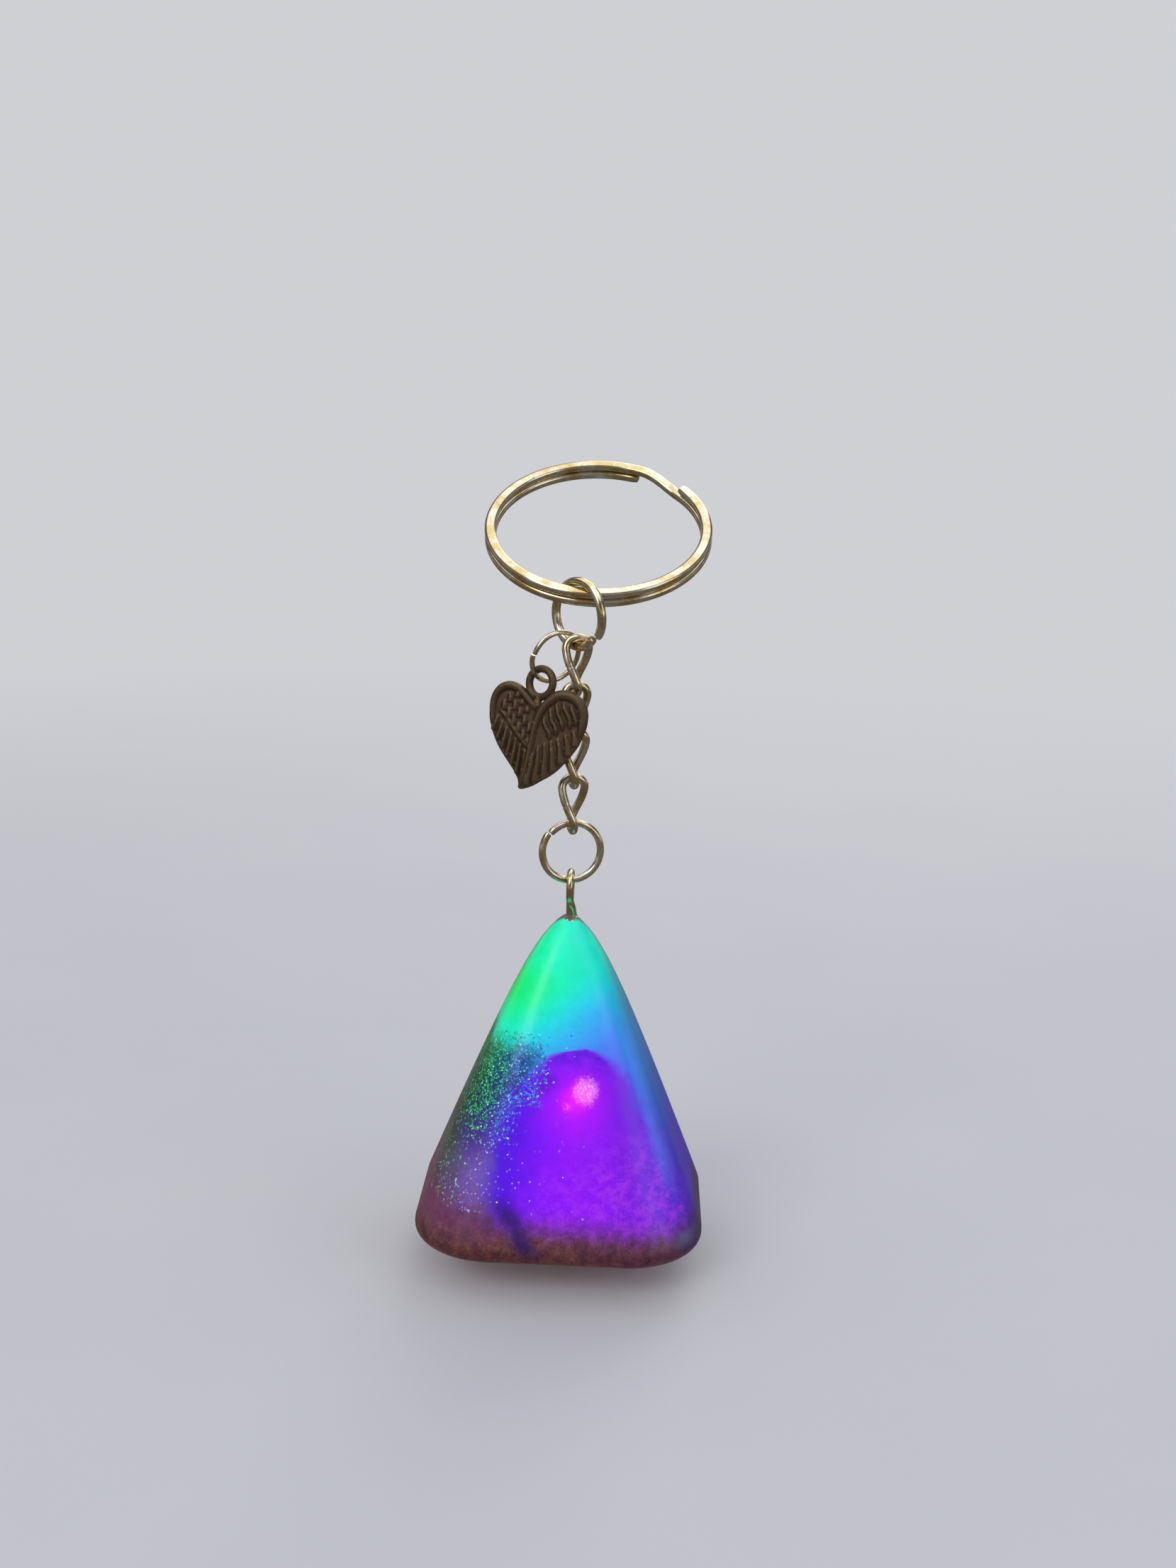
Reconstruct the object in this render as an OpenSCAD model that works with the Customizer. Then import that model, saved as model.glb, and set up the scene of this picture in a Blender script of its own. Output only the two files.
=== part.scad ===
// Keychain with a split ring, a twisted chain, a winged-heart charm and a cast resin pyramid.
// Millimetres. +Z runs up the hanging chain, the front faces -Y, and z = 0 is the pyramid's base.

/* [Pyramid] */
// Height of the resin pyramid from base to tip
pyramid_h = 41.4; // [38:0.1:46]
// Half width gained per millimetre below the tip on the flat part of a side
side_slope = 0.378; // [0.34:0.002:0.4]
// Extra half width that the blunt tip adds
tip_shoulder = 4.25; // [3.8:0.05:4.6]
// Depth of the back half as a share of the front half's depth
back_depth = 0.5; // [0.45:0.05:1]
// Radius round the bottom edge
base_round = 2.8; // [1.5:0.1:3.5]
// Radius of the upright edges near the tip
edge_r_top = 1.2; // [0.8:0.1:1.6]
// Extra edge radius per millimetre of half width
edge_r_gain = 0.45; // [0.1:0.01:0.55]

/* [Resin pours] */
// Thickness of the clear outer coat
coat_t = 0.7; // [0.5:0.05:1.1]
// Height of the opaque bronze pour at the base
bronze_h = 4.4; // [3:0.1:7]
// Height at which the tip pour meets the middle pour on the sides
split_z = 17; // [14:0.5:20]
// Rise of the domed boundary between the tip and middle pours
dome_h = 8; // [5:0.5:10]
// Parting gap between neighbouring pours
pour_gap = 0.01; // [0.005:0.005:0.02]

/* [Screw eye] */
// Outside diameter of the eye
eye_od = 4.6; // [4.4:0.1:5]
// Wire diameter of the screw eye
eye_d = 0.95; // [0.85:0.05:1]
// Height of the eye's top above the pyramid's tip
eye_rise = 6.05; // [5.8:0.05:6.4]
// Depth of the threaded shank in the resin
shank_l = 9; // [7:0.5:11]
// Crest diameter of the shank's thread
thread_d = 1.3; // [1.2:0.05:1.5]
// Pitch of the shank's thread
thread_p = 0.75; // [0.6:0.05:1]

/* [Pendant jump ring] */
// Outside diameter of the ring that carries the screw eye
low_od = 8.7; // [8.5:0.1:9]
// Wire diameter of that ring
low_d = 0.95; // [0.85:0.05:1]
// Seam gap of the jump rings, in degrees of the ring
seam_deg = 3; // [2:0.5:6]

/* [Chain] */
// Outside length of one twisted link
link_l = 8.2; // [8:0.1:8.4]
// Outside width of one link at its wide end
link_w = 4.2; // [4:0.1:4.6]
// Wire diameter of the links
link_d = 1.05; // [0.95:0.05:1.1]
// Clearance left where one link hangs on the next
hang_gap = 0.05; // [0.04:0.01:0.08]
// Turn of every link about the chain
link_yaw = 15; // [10:1:20]

/* [Upper jump ring] */
// Outside diameter of the ring on the key ring
top_od = 9.4; // [9.3:0.1:9.6]
// Wire diameter of that ring
top_d = 1.15; // [1.1:0.05:1.2]
// Turn of the upper jump ring about the chain
top_yaw = -44; // [-47:1:-42]

/* [Key ring] */
// Outside diameter of the split ring
key_od = 30; // [28:0.5:32]
// Height of one coil of the split ring
key_wire_h = 1.2; // [1.1:0.05:1.2]
// Radial width of the coil
key_wire_w = 1.5; // [1.3:0.05:1.5]
// Gap between the two coils
coil_gap = 0.06; // [0.04:0.01:0.1]
// Lean of the key ring, near side down
key_tilt = 31; // [28:1:34]
// Distance round the key ring from its near point to the upper jump ring, in degrees
key_shift = 7.7; // [6:0.1:9]
// Drop from the upper jump ring's inner top to the middle of the two coils
key_drop = 1.3; // [1.28:0.01:1.4]

/* [Charm ring] */
// Outside diameter of the ring that carries the charm
small_od = 7.52; // [7.47:0.05:7.57]
// Wire diameter of the charm ring
small_d = 0.66; // [0.6:0.02:0.66]

/* [Charm] */
// Thickness of one wing
wing_t = 1; // [0.9:0.05:1.05]
// Height of the raised rim above a wing's face
rim_h = 0.3; // [0.2:0.05:0.35]
// Height of the long feathers above a wing's face
feather_h = 0.14; // [0.08:0.02:0.2]
// Radius of the bail's wire centre line
bail_r = 1.8; // [1.75:0.01:1.85]
// Wire diameter of the bail
bail_d = 1; // [0.9:0.05:1.05]
// Lean of the charm, top to the right
charm_roll = 5.2; // [4.2:0.1:6.2]

/* [Hidden] */
eye_top = pyramid_h + eye_rise;
eye_c = eye_top - eye_od / 2;
eye_r = (eye_od - eye_d) / 2;
low_r = (low_od - low_d) / 2;
low_bot = eye_top - eye_d - low_d / 2 - 0.04;
low_c = low_bot + low_r;
link_half = (link_l - link_d) / 2;
link_hw = (link_w - link_d) / 2;
link_pitch = link_l - 2 * link_d - hang_gap;
link4_bot = low_bot + 2 * low_r - low_d / 2 - link_d / 2 - hang_gap;
link4_c = link4_bot + link_half;
link3_c = link4_c + link_pitch;
link2_c = link3_c + link_pitch;
link1_c = link2_c + link_pitch;
top_r = (top_od - top_d) / 2;
top_bot = link1_c + link_half - link_d / 2 - top_d / 2 - 0.06;
top_c = top_bot + top_r;
key_r = (key_od - key_wire_w) / 2;
key_z = top_bot + 2 * top_r - top_d / 2 - key_drop;
key_half = (key_wire_h + coil_gap) / 2;
small_r = (small_od - small_d) / 2;
small_pos = [-2.78, 0.73, top_c - 5.63];
small_rot = [17.8, -5.8, 34.4];
charm_pos = [-6.03, -2.68, top_c - 22.72];
charm_lean = -10.0;
charm_yaw = -18.4;
bail_c = [-0.6, 0.46, 14.08];
bail_yaw = -13.8;
boss_foot = [-0.35, -0.1, 10.9];
boss = bail_c - [0, 0, bail_r] - boss_foot;
boss_lean = atan2(norm([boss[0], boss[1]]), boss[2]);
boss_turn = atan2(-boss[0], boss[1]);

key_colour = [0.84, 0.80, 0.70];
chain_colour = [0.80, 0.77, 0.68];
charm_colour = [0.38, 0.29, 0.18];
tip_colour = [0.05, 0.85, 0.80];
middle_colour = [0.42, 0.14, 0.85];
bronze_colour = [0.40, 0.26, 0.16];
coat_colour = [0.80, 0.86, 0.95, 0.3];

// ---------- geometry helpers ----------

function unit(v) = v / norm(v);

function mod_at(list, i) = list[(i + len(list)) % len(list)];

// Catmull-Rom curve through a closed list of points, n steps a span.
function spline_at(a, b, c, d, t) =
    0.5 * (2 * b + (c - a) * t + (2 * a - 5 * b + 4 * c - d) * t * t + (3 * b - a - 3 * c + d) * t * t * t);

function smooth_closed(p, n) = [
    for (i = [0:len(p) - 1])
        for (k = [0:n - 1])
            spline_at(mod_at(p, i - 1), p[i], mod_at(p, i + 1), mod_at(p, i + 2), k / n)
];

// Faces of a stack of rings of m points. Each quad is split the same way, so that equal stacks match.
function skin_faces(rings, m) = [
    for (i = [0:rings - 2])
        for (k = [0:m - 1])
            for (f = [
                [i * m + k, i * m + (k + 1) % m, (i + 1) * m + k],
                [i * m + (k + 1) % m, (i + 1) * m + (k + 1) % m, (i + 1) * m + k]
            ])
                f
];

function cap_face(start, m) = [for (k = [0:m - 1]) start + k];

function cap_face_back(start, m) = [for (k = [m - 1:-1:0]) start + k];

// A solid skinned over open rings, listed from the top down and anticlockwise seen from above.
module stack(points, rings, m) {
    polyhedron(
        points,
        concat([cap_face_back(0, m)], skin_faces(rings, m), [cap_face((rings - 1) * m, m)]),
        convexity = 6
    );
}

// ---------- resin pyramid ----------

corner_n = 9;
ring_n = 4 * (corner_n + 1);

// Half width at depth u below the tip.
function half_w(u) = side_slope * u + tip_shoulder * (1 - exp(-pow(u / 5.5, 0.6)));

// The bottom edge's rounding takes this much off the half width at height z.
function base_cut(z) = z < base_round ? base_round - sqrt(pow(base_round, 2) - pow(base_round - z, 2)) : 0;

function outer_w(z) = half_w(pyramid_h - z) - base_cut(z);

function inner_w(z) = half_w(pyramid_h - z - coat_t) - 0.6 * coat_t - base_cut(z);

function edge_r(w) = min(w, edge_r_top + edge_r_gain * w);

// The back is flatter than the front by a share that fades out towards the tip.
function back_share(w, z) =
    1 - (1 - back_depth) * (1 - exp(-(pyramid_h - z) / 8)) * half_w(pyramid_h - z) / w;

// Rounded square of half width w at height z, with a flattened back.
function square_ring(w, z) = [
    for (q = [0:3])
        for (i = [0:corner_n])
            let (a = 90 * q + 90 * i / corner_n, r = edge_r(w), s = w - r)
                [
                    (q == 0 || q == 3 ? s : -s) + r * cos(a),
                    q < 2 ? (s + r * sin(a)) * back_share(w, z) : r * sin(a) - s,
                    z
                ]
];

function join(list) = [for (ring = list) for (p = ring) p];

function steps(a, b, n, power) = [for (i = [0:n]) a + (b - a) * pow(i / n, power)];

tip_z = pyramid_h - 0.05;
inner_tip_z = pyramid_h - coat_t - 0.15;
lower_zs = concat(steps(split_z - 2, base_round, 6, 1), steps(base_round - 0.4, 0, 6, 1));
outer_zs = concat(steps(tip_z, split_z, 14, 1.8), lower_zs);
inner_zs = concat(steps(inner_tip_z, split_z, 14, 1.8), lower_zs);

// Concentric rings of the domed boundary, from the side towards the axis.
function dome_ring(s, drop) = [
    for (p = square_ring(inner_w(split_z) - pour_gap, split_z))
        [p[0] * s, p[1] * s, split_z + dome_h * (1 - s * s) - drop]
];

dome_s = [0.85, 0.7, 0.55, 0.4, 0.25, 0.1, 0.02];

module shank_hole() {
    translate([0, 0, pyramid_h - shank_l - 0.3])
        cylinder(d = thread_d + 0.02, h = shank_l + 2, $fn = 24);
}

// The resin is chipped where the screw eye went in.
module entry_chip() {
    translate([0.12, -0.1, pyramid_h - 0.75])
        cylinder(r1 = thread_d / 2, r2 = 1.25, h = 1, $fn = 24);
}

module clear_coat() {
    outer_rings = [for (z = outer_zs) square_ring(outer_w(z), z)];
    inner_rings = [for (i = [len(inner_zs) - 1:-1:0]) square_ring(inner_w(inner_zs[i]), inner_zs[i])];
    color(coat_colour)
        difference() {
            stack(join(concat(outer_rings, inner_rings)), len(outer_zs) + len(inner_zs), ring_n);
            shank_hole();
            entry_chip();
        }
}

module glow_tip() {
    zs = [for (z = inner_zs) if (z >= split_z) z];
    sides = [for (z = zs) square_ring(inner_w(z) - pour_gap, z)];
    floor_rings = [for (s = dome_s) dome_ring(s, 0)];
    color(tip_colour)
        difference() {
            stack(join(concat(sides, floor_rings)), len(zs) + len(dome_s), ring_n);
            shank_hole();
        }
}

module violet_middle() {
    zs = [for (z = inner_zs) if (z < split_z && z > bronze_h) z];
    roof = [for (i = [len(dome_s) - 1:-1:0]) dome_ring(dome_s[i], pour_gap)];
    edge = [square_ring(inner_w(split_z) - pour_gap, split_z - pour_gap)];
    sides = [for (z = zs) square_ring(inner_w(z) - pour_gap, z)];
    foot = [square_ring(inner_w(bronze_h) - pour_gap, bronze_h + pour_gap)];
    color(middle_colour)
        stack(join(concat(roof, edge, sides, foot)), len(dome_s) + len(zs) + 2, ring_n);
}

module bronze_base() {
    zs = [for (z = inner_zs) if (z < bronze_h) z];
    head = [square_ring(inner_w(bronze_h) - pour_gap, bronze_h)];
    sides = [for (z = zs) square_ring(inner_w(z) - pour_gap, z)];
    color(bronze_colour)
        stack(join(concat(head, sides)), len(zs) + 1, ring_n);
}

// ---------- screw eye and jump rings ----------

// Wire ring standing in the XZ plane, open over gap degrees round the angle seam.
module wire_ring(r, d, seam, gap) {
    rotate([90, -seam - gap / 2, 0])
        rotate_extrude(angle = 360 - gap, $fn = 72)
            translate([r, 0])
                circle(d = d, $fn = 24);
}

function thread_profile(turns) = concat(
    [[0, 0]],
    [
        for (i = [0:turns - 1])
            for (p = [[eye_d / 2, i * thread_p + 0.1], [thread_d / 2, (i + 0.5) * thread_p + 0.1]])
                p
    ],
    [[eye_d / 2, turns * thread_p + 0.1], [0, turns * thread_p + 0.1]]
);

module screw_eye() {
    turns = floor((shank_l - 1) / thread_p);
    color(chain_colour) {
        translate([0, 0, eye_c])
            rotate([0, 0, 90])
                wire_ring(eye_r, eye_d, -68, 22);
        translate([0, 0, pyramid_h - shank_l + 0.1])
            cylinder(d = eye_d, h = eye_c - eye_r - pyramid_h + shank_l - 0.1, $fn = 24);
        translate([0, 0, pyramid_h - shank_l - 0.1])
            rotate_extrude($fn = 24)
                polygon(thread_profile(turns));
    }
}

module pendant_jump_ring() {
    color(chain_colour)
        translate([0, 0, low_c])
            rotate([0, 0, link_yaw])
                wire_ring(low_r, low_d, 140, seam_deg);
}

module large_jump_ring() {
    color(chain_colour)
        translate([0, 0, top_c])
            rotate([0, 0, top_yaw])
                wire_ring(top_r, top_d, -40, seam_deg);
}

module charm_jump_ring() {
    color(chain_colour)
        translate(small_pos)
            rotate(small_rot)
                wire_ring(small_r, small_d, 165, seam_deg);
}

// ---------- twisted links ----------

arc_n = 12;
side_n = 10;
wire_n = 12;

// Centre line of a link as [x, z] in its own plane: two half circles and two straight sides.
function flat_link() = concat(
    [for (i = [0:arc_n]) let (a = 180 * i / arc_n) [link_hw * cos(a), link_half - link_hw + link_hw * sin(a)]],
    [for (i = [1:side_n - 1]) [-link_hw, (link_half - link_hw) * (1 - 2 * i / side_n)]],
    [for (i = [0:arc_n]) let (a = 180 + 180 * i / arc_n) [link_hw * cos(a), -link_half + link_hw + link_hw * sin(a)]],
    [for (i = [1:side_n - 1]) [link_hw, (link_half - link_hw) * (2 * i / side_n - 1)]]
);

// A quarter turn from the top of the link to its bottom, slow at both ends.
function twist_at(z) = let (u = z / (2 * link_half) + 0.5) 90 * (1 - (3 * u * u - 2 * u * u * u));

function twisted(p) = let (a = twist_at(p[1])) [p[0] * cos(a), p[0] * sin(a), p[1]];

function link_ring(path, i) =
    let (
        t = unit(twisted(mod_at(path, i + 1)) - twisted(mod_at(path, i - 1))),
        a = twist_at(path[i][1]),
        n0 = [-sin(a), cos(a), 0],
        b = unit(n0 - (n0 * t) * t),
        c = cross(t, b)
    )
        [
            for (k = [0:wire_n - 1])
                twisted(path[i]) + link_d / 2 * (cos(360 * k / wire_n) * b + sin(360 * k / wire_n) * c)
        ];

module twisted_link(z) {
    path = flat_link();
    n = len(path);
    points = [for (i = [0:n - 1]) for (p = link_ring(path, i)) p];
    faces = [
        for (i = [0:n - 1])
            for (k = [0:wire_n - 1])
                [
                    i * wire_n + k,
                    i * wire_n + (k + 1) % wire_n,
                    ((i + 1) % n) * wire_n + (k + 1) % wire_n,
                    ((i + 1) % n) * wire_n + k
                ]
    ];
    split = [for (f = faces) for (g = [[f[0], f[1], f[2]], [f[0], f[2], f[3]]]) g];
    color(chain_colour)
        translate([0, 0, z])
            rotate([0, 0, link_yaw])
                polyhedron(points, split, convexity = 6);
}

module chain_link_1() {
    twisted_link(link1_c);
}

module chain_link_2() {
    twisted_link(link2_c);
}

module chain_link_3() {
    twisted_link(link3_c);
}

module chain_link_4() {
    twisted_link(link4_c);
}

// ---------- split key ring ----------

coil_steps = 132;
joggle = 0.035;
coil_power = 0.85;

// Level of the wire's centre after t turns: low coil, a short joggle, high coil.
function coil_z(t) =
    let (u = min(1, max(0, (t - 1 + joggle) / (2 * joggle))))
        key_half * (2 * (3 * u * u - 2 * u * u * u) - 1);

function coil_section(k) =
    let (a = 360 * k / wire_n, c = cos(a), s = sin(a))
        [
            key_wire_w / 2 * sign(c) * pow(abs(c), coil_power),
            key_wire_h / 2 * sign(s) * pow(abs(s), coil_power)
        ];

function coil_t(i) = joggle + 0.006 + (2 - 2 * joggle - 0.012) * i / coil_steps;

module key_ring() {
    points = [
        for (i = [0:coil_steps])
            for (k = [0:wire_n - 1])
                let (t = coil_t(i), a = 55 + 360 * t, s = coil_section(k))
                    [(key_r + s[0]) * cos(a), (key_r + s[0]) * sin(a), coil_z(t) + s[1]]
    ];
    color(key_colour)
        translate([0, 0, key_z])
            rotate([key_tilt, 0, 0])
                translate([key_r * sin(key_shift), key_r * cos(key_shift), 0])
                    stack(points, coil_steps + 1, wire_n);
}

// ---------- winged-heart charm ----------

left_outline = smooth_closed(
    [
        [0.2, 10.9], [-1.1, 11.9], [-2.1, 12.7], [-2.9, 13.3], [-3.8, 13.6], [-4.7, 13.6], [-5.6, 13.2],
        [-6.2, 12.6], [-6.6, 11.8], [-6.8, 10.8], [-6.7, 9.6], [-6.5, 8.5], [-6.1, 7.5], [-5.6, 6.5],
        [-4.8, 5.3], [-4, 4.4], [-3, 3.4], [-2, 2.4], [-1.3, 1.5], [-1, 0.8], [-0.3, 0.9], [0.4, 2.6],
        [0.6, 5.5], [0.6, 8.8]
    ],
    3
);

// The field inside a rim runs out past the feathered edge, which has no rim.
left_field = smooth_closed(
    [
        [0.3, 9.6], [-1, 10.6], [-2.3, 11.7], [-3.5, 12.4], [-4.6, 12.4], [-5.4, 11.9], [-5.8, 10.9],
        [-5.9, 9.8], [-5.8, 8.8], [-6, 8], [-6.9, 7], [-6, 5.2], [-4, 3], [-2, 1], [-0.6, 0.2],
        [0.6, 0.6], [0.9, 3], [0.9, 6.5]
    ],
    3
);

right_outline = smooth_closed(
    [
        [-0.1, 11], [0.4, 11.8], [0.9, 12.5], [1.5, 13.2], [2.3, 13.6], [3.1, 13.8], [4.1, 13.7],
        [5.1, 13.3], [5.8, 12.8], [6.3, 12.1], [6.6, 11.2], [6.7, 10.1], [6.6, 9.1], [6.4, 7.9],
        [6.1, 6.8], [5.5, 5.7], [4.8, 4.6], [4, 3.5], [3, 2.5], [2, 1.7], [1, 0.9], [0, 0.3],
        [-0.7, 0.2], [-1.1, 0.6], [-0.8, 2.2], [-0.6, 4.4], [-0.5, 6.6], [-0.4, 9.2]
    ],
    3
);

right_field = smooth_closed(
    [
        [0.8, 9.8], [1.3, 11], [2.1, 12], [3.1, 12.5], [4.1, 12.4], [4.9, 11.9], [5.5, 11], [5.8, 9.9],
        [5.8, 8.9], [6, 8.1], [6.9, 7], [6.3, 5.2], [4.6, 2.8], [2.4, 0.8], [0.4, 0], [0, 1.4],
        [0.2, 3.6], [0.4, 6], [0.5, 8.2]
    ],
    3
);

// A feather from its root a, half width wa, to its rounded tip b, half width wb.
function feather(a, b, wa, wb) =
    let (h = atan2(b[1] - a[1], b[0] - a[0]))
        concat(
            [for (i = [0:6]) b + wb * [cos(h - 90 + 30 * i), sin(h - 90 + 30 * i)]],
            [for (i = [0:4]) a + wa * [cos(h + 90 + 45 * i), sin(h + 90 + 45 * i)]]
        );

// Plate of a 2D shape whose front face lies at y = -front and whose back lies at y = back.
module plate(front, back) {
    translate([0, back, 0])
        rotate([90, 0, 0])
            linear_extrude(front + back)
                children();
}

module wing_rim(front, back) {
    plate(front, back)
        difference() {
            children(0);
            children(1);
        }
}

module left_wing() {
    plate(wing_t / 2, wing_t / 2)
        polygon(left_outline);
    wing_rim(wing_t / 2 + rim_h, 0) {
        polygon(left_outline);
        polygon(left_field);
    }
    for (i = [0:5])
        plate(wing_t / 2 + feather_h + 0.02 * i, 0)
            polygon(feather([-5.3 + 0.74 * i, 8.8 - 0.58 * i], [-5.65 + 0.83 * i, 7.4 - 1.02 * i], 0.26, 0.36));
    for (i = [0:4])
        plate(wing_t / 2 + feather_h + 0.03 + 0.01 * i, 0)
            polygon(feather([-4.8 + 0.82 * i, 11 - 0.85 * i], [-4.75 + 0.76 * i, 9.9 - 0.8 * i], 0.2, 0.38));
    for (i = [0:3])
        plate(wing_t / 2 + feather_h + 0.06 + 0.01 * i, 0)
            polygon(feather([-4.2 + 0.82 * i, 12.1 - 0.85 * i], [-4.1 + 0.74 * i, 11.1 - 0.8 * i], 0.18, 0.34));
}

module right_wing() {
    plate(wing_t * 0.75, wing_t * 0.2)
        polygon(right_outline);
    wing_rim(wing_t * 0.75 + rim_h - 0.1, 0) {
        polygon(right_outline);
        polygon(right_field);
    }
    for (i = [0:6])
        plate(wing_t * 0.75 + feather_h + 0.015 * i, 0)
            polygon(feather(
                [0.3 + 0.78 * i, 5.3 + 0.6 * i],
                [0.15 + 1.1 * i - 0.02 * i * i, 0.8 + 0.55 * i + 0.08 * i * i],
                0.26,
                0.42
            ));
    for (i = [0:3])
        plate(wing_t * 0.75 + feather_h + 0.11 + 0.01 * i, 0)
            polygon(feather(
                [0.95 + 0.8 * i, 9.6 + 1.3 * i - 0.17 * i * i],
                [2.1 + 0.82 * i, 7.6 + 0.95 * i],
                0.2,
                0.32
            ));
}

module wing_charm() {
    color(charm_colour)
        translate(charm_pos)
            rotate([charm_lean, charm_roll, charm_yaw]) {
                left_wing();
                right_wing();
                translate(bail_c)
                    rotate([0, 0, bail_yaw])
                        wire_ring(bail_r, bail_d, 0, 0);
                translate(boss_foot)
                    rotate([-boss_lean, 0, boss_turn])
                        cylinder(r = 0.5, h = norm(boss), $fn = 24);
            }
}

key_ring();
large_jump_ring();
charm_jump_ring();
wing_charm();
chain_link_1();
chain_link_2();
chain_link_3();
chain_link_4();
pendant_jump_ring();
screw_eye();
glow_tip();
violet_middle();
bronze_base();
clear_coat();
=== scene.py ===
"""Visual model of a keychain: split ring, twisted chain, winged-heart charm and a cast resin pyramid.

Everything is laid out in millimetres in the CAD frame (+Z up, front at -Y) and stored in metres.
"""

import math
import random
from types import SimpleNamespace

import bmesh
import bpy
from mathutils import Matrix, Vector


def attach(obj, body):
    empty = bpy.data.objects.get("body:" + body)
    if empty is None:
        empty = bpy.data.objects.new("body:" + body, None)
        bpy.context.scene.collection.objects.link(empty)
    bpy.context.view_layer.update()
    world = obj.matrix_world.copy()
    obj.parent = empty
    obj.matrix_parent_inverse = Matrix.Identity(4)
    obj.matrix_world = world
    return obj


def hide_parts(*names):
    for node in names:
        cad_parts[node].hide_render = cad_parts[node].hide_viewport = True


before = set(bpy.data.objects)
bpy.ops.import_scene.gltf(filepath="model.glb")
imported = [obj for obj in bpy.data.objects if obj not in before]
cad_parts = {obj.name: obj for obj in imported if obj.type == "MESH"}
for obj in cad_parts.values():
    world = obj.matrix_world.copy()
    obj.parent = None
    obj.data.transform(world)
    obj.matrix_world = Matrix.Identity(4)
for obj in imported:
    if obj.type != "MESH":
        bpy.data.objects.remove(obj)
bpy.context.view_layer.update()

MM = 0.001
UP = Vector((0, 0, 1))

# ---------------------------------------------------------------- sizes, as in the CAD source
PYRAMID_H = 41.4
SIDE_SLOPE = 0.378
TIP_SHOULDER = 4.25
SHOULDER_RUN = 5.5
SHOULDER_POWER = 0.6
BACK_DEPTH = 0.5
BACK_FADE = 8.0
BASE_ROUND = 2.8
EDGE_R_TOP = 1.2
EDGE_R_GAIN = 0.45
COAT_T = 0.7
BRONZE_H = 4.4
SPLIT_Z = 17.0
DOME_H = 8.0
POUR_GAP = 0.01
EYE_OD, EYE_D, EYE_RISE, SHANK_L, THREAD_D, THREAD_P = 4.6, 0.95, 6.05, 9.0, 1.3, 0.75
LOW_OD, LOW_D = 8.7, 0.95
LINK_L, LINK_W, LINK_D, LINK_YAW = 8.2, 4.2, 1.05, 15.0
HANG_GAP, EYE_GAP, TOP_GAP = 0.05, 0.04, 0.06
TOP_OD, TOP_D, TOP_YAW = 9.4, 1.15, -44.0
KEY_OD, KEY_H, KEY_W, COIL_GAP, KEY_TILT, KEY_SHIFT, KEY_DROP = 30.0, 1.2, 1.5, 0.06, 31.0, 7.7, 1.3
SMALL_OD, SMALL_D = 7.52, 0.66

EYE_TOP = PYRAMID_H + EYE_RISE
EYE_C = EYE_TOP - EYE_OD / 2
EYE_R = (EYE_OD - EYE_D) / 2
LOW_R = (LOW_OD - LOW_D) / 2
LOW_BOT = EYE_TOP - EYE_D - LOW_D / 2 - EYE_GAP
LOW_C = LOW_BOT + LOW_R
LINK_HALF = (LINK_L - LINK_D) / 2
LINK_HW = (LINK_W - LINK_D) / 2
LINK_PITCH = LINK_L - 2 * LINK_D - HANG_GAP
LINK4_C = LOW_BOT + 2 * LOW_R - LOW_D / 2 - LINK_D / 2 - HANG_GAP + LINK_HALF
LINK_CS = [LINK4_C + LINK_PITCH * i for i in (3, 2, 1, 0)]
TOP_R = (TOP_OD - TOP_D) / 2
TOP_BOT = LINK_CS[0] + LINK_HALF - LINK_D / 2 - TOP_D / 2 - TOP_GAP
TOP_C = TOP_BOT + TOP_R
KEY_R = (KEY_OD - KEY_W) / 2
KEY_Z = TOP_BOT + 2 * TOP_R - TOP_D / 2 - KEY_DROP
KEY_HALF = (KEY_H + COIL_GAP) / 2
SMALL_R = (SMALL_OD - SMALL_D) / 2
SMALL_POS = (-2.78, 0.73, TOP_C - 5.63)
SMALL_ROT = (17.8, -5.8, 34.4)
CHARM_POS = (-6.03, -2.68, TOP_C - 22.72)
CHARM_ROT = (-10.0, 5.2, -18.4)
BAIL_R, BAIL_D, BAIL_C, BAIL_YAW = 1.8, 1.0, (-0.6, 0.46, 14.08), -13.8
CAST_VOXEL, QUICK_VOXEL = 0.1, 0.14


# ---------------------------------------------------------------- small helpers
def rgb(r, g, b, a=1.0):
    """Linear colour from display values 0-255."""
    def lin(c):
        c /= 255.0
        return c / 12.92 if c <= 0.04045 else ((c + 0.055) / 1.055) ** 2.4
    return (lin(r), lin(g), lin(b), a)


def turn(rx, ry, rz):
    """Rotation about X, then Y, then Z, in degrees."""
    return (Matrix.Rotation(math.radians(rz), 4, "Z")
            @ Matrix.Rotation(math.radians(ry), 4, "Y")
            @ Matrix.Rotation(math.radians(rx), 4, "X"))


def place(pos, rot=(0, 0, 0)):
    return Matrix.Translation(Vector(pos)) @ turn(*rot)


def smooth(t):
    t = min(1.0, max(0.0, t))
    return t * t * (3 - 2 * t)


def spline(points, n, closed=False):
    """Catmull-Rom curve through the points, n steps a span."""
    pts = [Vector(p) for p in points]
    m = len(pts)
    out = []
    for i in range(m if closed else m - 1):
        if closed:
            a, b, c, d = pts[i - 1], pts[i], pts[(i + 1) % m], pts[(i + 2) % m]
        else:
            b, c = pts[i], pts[i + 1]
            a = pts[i - 1] if i else b * 2 - c
            d = pts[i + 2] if i + 2 < m else c * 2 - b
        for k in range(n):
            t = k / n
            out.append(0.5 * (2 * b + (c - a) * t + (2 * a - 5 * b + 4 * c - d) * t * t
                              + (3 * b - a - 3 * c + d) * t ** 3))
    if not closed:
        out.append(pts[-1])
    return out


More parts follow.
